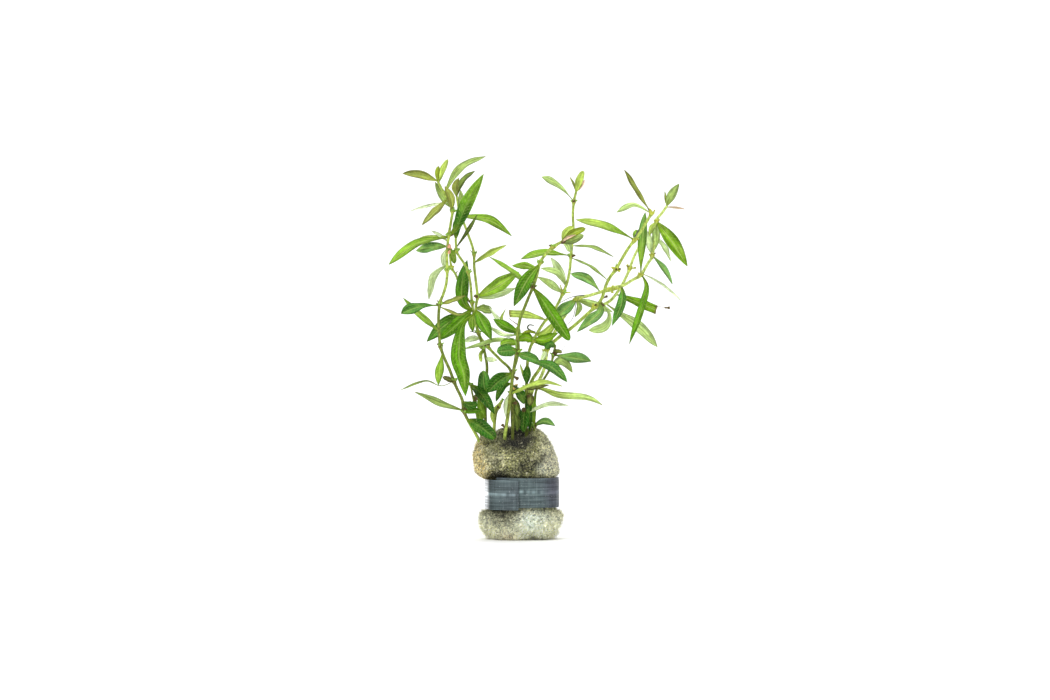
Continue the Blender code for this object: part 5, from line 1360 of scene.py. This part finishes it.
def add_fibres(verts, normals, tones, skin):
    """Loose struts that stand out of the foam's cut surface."""
    below, above = FIBRE_FREE_OF_BAND
    parts = []
    while len(parts) < FIBRE_COUNT:
        i = random.randrange(len(verts))
        hidden = BAND_BOTTOM - below < verts[i].z < BAND_BOTTOM + BAND_HEIGHT + above
        spread = Vector([random.uniform(-1, 1) for axis in range(3)])
        stretch = FIBRE_LOW_STRETCH if verts[i].z < BAND_BOTTOM else 1.0
        length = random.uniform(*FIBRE_LENGTH) * stretch
        if hidden or verts[i].z < FIBRE_FREE_HEIGHT:
            continue
        way = (spread + normals[i] * FIBRE_OUTWARD).normalized()
        start = verts[i] - normals[i] * FIBRE_ROOT_DEPTH
        end = start + way * length
        end.z = max(end.z, FIBRE_RADIUS)
        radii = (FIBRE_RADIUS, FIBRE_RADIUS * FIBRE_TIP_SHARE)
        strut, faces, places = tube((start, end), radii, FIBRE_SIDES)
        tone = shade(tones[i], random.uniform(*FIBRE_GAINS))
        tone = mix(tone, FOAM_CREAM, random.uniform(*FIBRE_CREAM_SHARES))
        parts.append((strut, faces, [tone] * len(strut), places))
    strut, faces, tones, _ = join(parts)
    add_piece("foam_fibres", strut, faces, tones, None, [skin], ["foam_plug"], "foam")


def add_band(skin):
    """The lead strip, once round the waist, its last stretch over its first, with small dents."""
    verts = []
    tones = []
    places = []
    whole_turn = 360 + BAND_OVERLAP_DEGREES
    for i in range(BAND_CELLS_ALONG + 1):
        share = i / BAND_CELLS_ALONG
        turn = math.radians(BAND_END_DEGREES - BAND_OVERLAP_DEGREES + whole_turn * share)
        lapped = (whole_turn * share - BAND_LAP_FROM_DEGREES) / BAND_LAP_REACH_DEGREES
        lap = smoothstep(0, 1, lapped) * (BAND_THICKNESS + BAND_GAP)
        for k in range(BAND_CELLS_ACROSS + 1):
            up = k / BAND_CELLS_ACROSS
            z = BAND_BOTTOM + BAND_RISE * (1 - share) + BAND_HEIGHT * up
            dent = BAND_DENT * plane_noise(share, up, *BAND_DENT_NOISE)
            ridge = BAND_RIDGE * math.exp(-(((up - 0.5) / BAND_RIDGE_HALF_WIDTH) ** 2))
            out = lap + dent + ridge
            x, y = oval_point(BAND_CENTRE_X, BAND_HALF_WIDTH + out, BAND_HALF_DEPTH + out, turn)
            verts.append(Vector((x, y, z)))
            places.append((share * BAND_MAP_LENGTH, up * BAND_HEIGHT))
            tones.append(band_tone(share, up, x))
    grid = grid_faces(BAND_CELLS_ALONG + 1, BAND_CELLS_ACROSS + 1, False)
    faces = [(low, beyond, across, after) for low, after, across, beyond in grid]
    piece = add_piece("band_fine", verts, faces, tones, places, [skin], ["lead_band"], "lead")
    add_thickness(piece, BAND_THICKNESS)
    rounded = piece.modifiers.new("rounded_edges", "BEVEL")
    rounded.width = BAND_EDGE_ROUNDING * MM
    rounded.segments = BAND_EDGE_SEGMENTS
    rounded.limit_method = "ANGLE"
    rounded.angle_limit = math.radians(BAND_SHARP_DEGREES)


def plane_noise(x, y, scales, layer):
    """Noise on a plane, scaled along each of its axes, another one on each layer."""
    return noise.noise(Vector((x * scales[0], y * scales[1], layer)))


def band_tone(share, up, x):
    """The strip's colour at those shares along and across it: worn, with a painted highlight along a
    line and another at its left end.
    """
    dull = smoothstep(*LEAD_DULL_FROM, plane_noise(share, up, *LEAD_DULL_NOISE))
    shaded = smoothstep(*LEAD_SHADED_RIGHT, x)
    tone = mix(LEAD_COLOUR, LEAD_DARK, LEAD_DULL_SHARE * dull + LEAD_SHADED_SHARE * shaded)
    # A painted highlight at the strip's left end.
    end_highlight = smoothstep(*LEAD_END_HIGHLIGHT_LEFT, -x)
    tone = mix(tone, LEAD_BRIGHT, LEAD_END_HIGHLIGHT_SHARE * end_highlight)
    # A painted highlight along a line of the strip, broken in places.
    highlight_strength = LEAD_HIGHLIGHT_LEAST + plane_noise(x, 0, *LEAD_HIGHLIGHT_BREAK_NOISE)
    line = math.exp(-(((up - LEAD_HIGHLIGHT_AT) / LEAD_HIGHLIGHT_HALF_WIDTH) ** 2)) * highlight_strength
    edge = LEAD_EDGE_GAIN * smoothstep(*LEAD_EDGE_FROM, abs(2 * up - 1))
    grain = LEAD_GRAIN_GAIN * plane_noise(x, up, *LEAD_GRAIN_NOISE)
    dark = LEAD_END_DARKNESS * smoothstep(*LEAD_END_LEFT, -x) * (1 - end_highlight)
    return shade(tone, 1 + edge + grain + LEAD_HIGHLIGHT_GAIN * line - dark)


class Shader:
    """A material of nodes, with short ways to add them."""

    def __init__(self, name):
        self.material = bpy.data.materials.new(name)
        self.material.use_nodes = True
        self.tree = self.material.node_tree
        self.surface = self.tree.nodes["Principled BSDF"]

    def node(self, kind, **settings):
        """A node with those settings."""
        made = self.tree.nodes.new(kind)
        for key, value in settings.items():
            setattr(made, key, value)
        return made

    def link(self, source, target):
        """A wire from an output to an input."""
        self.tree.links.new(source, target)

    def math(self, operation, first, second=None):
        """A sum of two values, each a number or an output."""
        made = self.node("ShaderNodeMath", operation=operation)
        for socket, value in zip(made.inputs, (first, second)):
            if isinstance(value, (int, float)):
                socket.default_value = value
            elif value is not None:
                self.link(value, socket)
        return made.outputs[0]

    def ranged(self, value, low, high, out_low, out_high):
        """A value moved from one range to another, smoothly."""
        made = self.node("ShaderNodeMapRange", interpolation_type="SMOOTHSTEP")
        self.link(value, made.inputs["Value"])
        limits = (("From Min", low), ("From Max", high), ("To Min", out_low), ("To Max", out_high))
        for key, number in limits:
            made.inputs[key].default_value = number
        return made.outputs["Result"]

    def place(self):
        """The place in the object's own metres."""
        return self.node("ShaderNodeTexCoord").outputs["Object"]

    def scaled(self, place, scales, start=None):
        """A place scaled along each axis, and moved by another."""
        made = self.node("ShaderNodeVectorMath", operation="MULTIPLY_ADD")
        self.link(place, made.inputs[0])
        made.inputs[1].default_value = scales
        if start is not None:
            self.link(start, made.inputs[2])
        return made.outputs["Vector"]

    def noise(self, scale, detail, stretch=(1, 1, 1), place=None):
        """Noise at a place, by default in the object's own metres, finer with a larger scale."""
        made = self.node("ShaderNodeTexNoise")
        made.inputs["Scale"].default_value = scale
        made.inputs["Detail"].default_value = detail
        self.link(self.scaled(place or self.place(), stretch), made.inputs["Vector"])
        return made.outputs["Fac"]

    def mixed(self, share, first, second, blend="MIX"):
        """Two colours mixed, each a colour or an output."""
        made = self.node("ShaderNodeMix", data_type="RGBA", blend_type=blend)
        if isinstance(share, (int, float)):
            made.inputs["Factor"].default_value = share
        else:
            self.link(share, made.inputs["Factor"])
        for key, value in (("A", first), ("B", second)):
            socket = [each for each in made.inputs if each.name == key and each.type == "RGBA"][0]
            if isinstance(value, tuple):
                socket.default_value = (*value, 1.0)
            else:
                self.link(value, socket)
        return [each for each in made.outputs if each.type == "RGBA"][0]

    def grey(self, value):
        """A value as a grey colour."""
        made = self.node("ShaderNodeCombineColor")
        for socket in made.inputs:
            self.link(value, socket)
        return made.outputs["Color"]

    def tone(self):
        """The colour stored at the mesh's points."""
        return self.node("ShaderNodeAttribute", attribute_name="tone").outputs["Color"]

    def toned(self, factor):
        """The stored colour multiplied by another, which is a colour or an output."""
        return self.mixed(1.0, self.tone(), factor, "MULTIPLY")

    def bump(self, height, distance, strength=1.0):
        """Small relief, its height in millimetres."""
        made = self.node("ShaderNodeBump")
        made.inputs["Distance"].default_value = distance * MM
        made.inputs["Strength"].default_value = strength
        self.link(height, made.inputs["Height"])
        self.link(made.outputs["Normal"], self.surface.inputs["Normal"])

    def finish(self, colour, roughness, **constants):
        """The colour and the roughness wired in, and the plain numbers set on their sockets."""
        self.link(colour, self.surface.inputs["Base Color"])
        self.link(roughness, self.surface.inputs["Roughness"])
        for key, value in constants.items():
            self.surface.inputs[key.replace("_", " ")].default_value = value
        return self.material


def leaf_material(name, rib_share, wash, wash_share):
    """Leaf skin: the stored colour, mottled, with a pale midrib and faint side veins."""
    made = Shader(name)
    laid_out = made.node("ShaderNodeUVMap", uv_map="UVMap").outputs["UV"]
    place = made.node("ShaderNodeSeparateXYZ")
    made.link(laid_out, place.inputs[0])
    across = made.math("ABSOLUTE", made.math("SUBTRACT", place.outputs[0], MIDRIB_AT))
    along = place.outputs[1]
    rib = made.ranged(across, *MIDRIB_REACH, rib_share, 0.0)
    slanted = made.math("SUBTRACT", along, made.math("MULTIPLY", across, VEIN_SLANT))
    vein_wave = made.math("SINE", made.math("MULTIPLY", slanted, VEIN_RATE))
    vein = made.ranged(vein_wave, *VEIN_CREST)
    mottle = made.noise(*LEAF_MOTTLE)
    own = made.scaled(laid_out, STREAK_STRETCH, made.scaled(made.place(), STREAK_START_SCALES))
    streaks = made.noise(*LEAF_STREAKS, place=own)
    speckle = made.ranged(made.noise(*LEAF_SPECKLES), *SPECKLE_SHARE)
    mottled = made.ranged(mottle, *MOTTLE_GAIN)
    depth = made.math("MULTIPLY", mottled, made.ranged(streaks, *LEAF_STREAK_GAIN))
    colour = made.toned(made.grey(depth))
    colour = made.mixed(wash_share, colour, wash)
    colour = made.mixed(made.math("MULTIPLY", vein, VEIN_SHARE), colour, RIB_COLOUR)
    colour = made.mixed(speckle, colour, RIB_COLOUR)
    colour = made.mixed(rib, colour, RIB_COLOUR)
    height = made.math("MULTIPLY", mottle, MOTTLE_HEIGHT)
    height = made.math("SUBTRACT", height, made.math("MULTIPLY", vein, VEIN_DEPTH))
    height = made.math("SUBTRACT", height, made.math("MULTIPLY", rib, MIDRIB_DEPTH))
    made.bump(height, LEAF_RELIEF)
    rough = made.ranged(mottle, *LEAF_ROUGHNESS)
    return made.finish(colour, rough, Specular_IOR_Level=LEAF_SPECULAR)


def leaf_skin(colour):
    """The skin of leaves of that colour, made once."""
    name = "skin_" + colour
    look = (RIB_SHARES.get(colour, OTHER_RIB_SHARE), COLOURS[colour], SKIN_WASH)
    return bpy.data.materials.get(name) or leaf_material(name, *look)


def stem_material():
    """Stem skin: the stored colour with fine streaks along it."""
    made = Shader("stem")
    mottle = made.noise(*STEM_MOTTLE)
    streaks = made.noise(*STEM_STREAKS)
    colour = made.toned(made.grey(made.ranged(streaks, *STEM_STREAK_GAIN)))
    made.bump(made.math("ADD", mottle, streaks), STEM_RELIEF)
    rough = made.ranged(mottle, *STEM_ROUGHNESS)
    return made.finish(colour, rough, Specular_IOR_Level=STEM_SPECULAR)


def foam_material():
    """Open-cell foam: the stored colour with small cells, painted shade in their middles and painted
    light on their struts, calmer where pale, and painted glints on a few.
    """
    made = Shader("foam")
    edges = made.node("ShaderNodeTexVoronoi", feature="DISTANCE_TO_EDGE")
    cells = made.node("ShaderNodeTexVoronoi")
    for each in (edges, cells):
        each.inputs["Scale"].default_value = FOAM_CELL_SCALE
        made.link(made.place(), each.inputs["Vector"])
    strut = made.ranged(edges.outputs["Distance"], *STRUT_SHARE)
    chance = made.node("ShaderNodeSeparateColor")
    made.link(cells.outputs["Color"], chance.inputs[0])
    fine = made.noise(*FOAM_GRAIN)
    grain = made.ranged(chance.outputs[0], *CELL_GAIN)
    # Painted shade in the middles of the cells, painted light on the struts.
    depth = made.math("MULTIPLY", grain, made.ranged(strut, *STRUT_LIGHT_AND_PORE_SHADE))
    stored = made.node("ShaderNodeSeparateColor")
    made.link(made.tone(), stored.inputs[0])
    calm = made.ranged(stored.outputs[1], *CALM_SHARE)
    depth = made.mixed(calm, made.grey(depth), CALM_FACTOR)
    colour = made.toned(depth)
    dots = made.ranged(chance.outputs[1], *DOT_SHARE)
    colour = made.mixed(dots, colour, made.toned(DOT_FACTOR))
    # Painted glints on a few cells.
    glint = made.ranged(chance.outputs[2], *GLINT_SHARE)
    colour = made.mixed(glint, colour, FOAM_CREAM)
    made.bump(made.math("ADD", strut, fine), FOAM_RELIEF)
    return made.finish(colour, made.ranged(fine, *FOAM_ROUGHNESS))


def lead_material():
    """Rolled lead: dull blue-grey metal with fine lines along the strip."""
    made = Shader("lead")
    lines = made.noise(*LEAD_LINES)
    blotch = made.noise(*LEAD_BLOTCHES)
    specks = made.ranged(made.noise(*LEAD_SPECKS), *SPECK_SHARE)
    threads = made.noise(*LEAD_THREADS)
    weave = made.math("MULTIPLY", lines, LINE_WEIGHT)
    weave = made.math("ADD", weave, made.math("MULTIPLY", threads, THREAD_WEIGHT))
    colour = made.toned(made.grey(made.ranged(weave, *WEAVE_GAIN)))
    colour = made.mixed(specks, colour, LEAD_BRIGHT)
    made.bump(made.math("ADD", lines, made.math("MULTIPLY", blotch, BLOTCH_HEIGHT)), LEAD_RELIEF)
    return made.finish(colour, made.ranged(blotch, *LEAD_ROUGHNESS), Metallic=LEAD_METALLIC)


def studio_material():
    """Pale paper of the studio's floor and back wall."""
    made = Shader("studio")
    grain = made.noise(*STUDIO_GRAIN)
    colour = made.mixed(grain, *STUDIO_GREYS)
    return made.finish(colour, made.ranged(grain, *STUDIO_ROUGHNESS))


def add_studio():
    """A pale floor that curves up into a back wall."""
    profile = [(FLOOR_FRONT, 0.0), (BEND_START, 0.0)]
    for degrees in range(10, 91, 10):
        turn = math.radians(degrees)
        y = BEND_START + BEND_RADIUS * math.sin(turn)
        profile.append((y, BEND_RADIUS - BEND_RADIUS * math.cos(turn)))
    profile.append((BEND_START + BEND_RADIUS, WALL_TOP))
    verts = [(x, y, z) for y, z in profile for x in (-STUDIO_HALF_WIDTH, STUDIO_HALF_WIDTH)]
    faces = [(2 * i, 2 * i + 1, 2 * i + 3, 2 * i + 2) for i in range(len(profile) - 1)]
    mesh = bpy.data.meshes.new("studio")
    mesh.from_pydata(verts, [], faces)
    mesh.materials.append(studio_material())
    mesh.shade_smooth()
    floor = bpy.data.objects.new("studio", mesh)
    bpy.context.scene.collection.objects.link(floor)


def add_light(name, place, target, size, power):
    """A square soft light that faces the target."""
    lamp = bpy.data.lights.new(name, "AREA")
    lamp.size = size
    lamp.energy = power
    light = bpy.data.objects.new(name, lamp)
    light.location = place
    towards = Vector(target) - Vector(place)
    light.rotation_euler = towards.to_track_quat("-Z", "Y").to_euler()
    bpy.context.scene.collection.objects.link(light)


def add_camera():
    """A long lens far off, level with the bunch."""
    elevation = math.radians(VIEW_ELEVATION_DEGREES)
    away = Vector((0, -math.cos(elevation), math.sin(elevation))) * VIEW_DISTANCE
    lens = bpy.data.cameras.new("camera")
    lens.sensor_width = SENSOR_WIDTH
    lens.lens = SENSOR_WIDTH * VIEW_DISTANCE / VIEW_WIDTH
    lens.clip_end = VIEW_REACH_METRES
    camera = bpy.data.objects.new("camera", lens)
    camera.location = (Vector(VIEW_CENTRE) + away) * MM
    camera.rotation_euler = (-away).to_track_quat("-Z", "Y").to_euler()
    bpy.context.scene.collection.objects.link(camera)
    bpy.context.scene.camera = camera


def add_world():
    """Even pale light from all around."""
    world = bpy.data.worlds.new("world")
    world.use_nodes = True
    background = world.node_tree.nodes["Background"]
    background.inputs["Color"].default_value = (1.0, 1.0, 1.0, 1.0)
    background.inputs["Strength"].default_value = WORLD_STRENGTH
    bpy.context.scene.world = world


def build():
    """The whole bunch, its studio, its lights and its camera."""
    add_camera()
    skin = stem_material()
    pale = (UNDERSIDE_RIB_SHARE, UNDERSIDE_COLOUR, UNDERSIDE_WASH)
    underside = leaf_material("leaf_underside", *pale)
    foam = foam_material()
    lead = lead_material()
    for name, stem in STEMS.items():
        add_stem(name, stem, skin)
        add_twigs(name, stem, skin)
        own = [(f"{name}_leaf_{n}", leaf) for n, leaf in enumerate(LEAVES.get(name, ()), 1)]
        grown = [(f"{name}_stem", leaf) for leaf in GROWN_LEAVES[name]]
        for number, (node, leaf) in enumerate(own + grown, 1):
            add_leaf(f"{name}_blade_{number}", leaf, stem, node, underside)
    add_band(lead)
    add_fibres(*add_foam(foam), foam)
    add_studio()
    add_world()
    for light in LIGHTS:
        add_light(*light)
    bpy.context.scene.view_settings.view_transform = "Standard"


build()
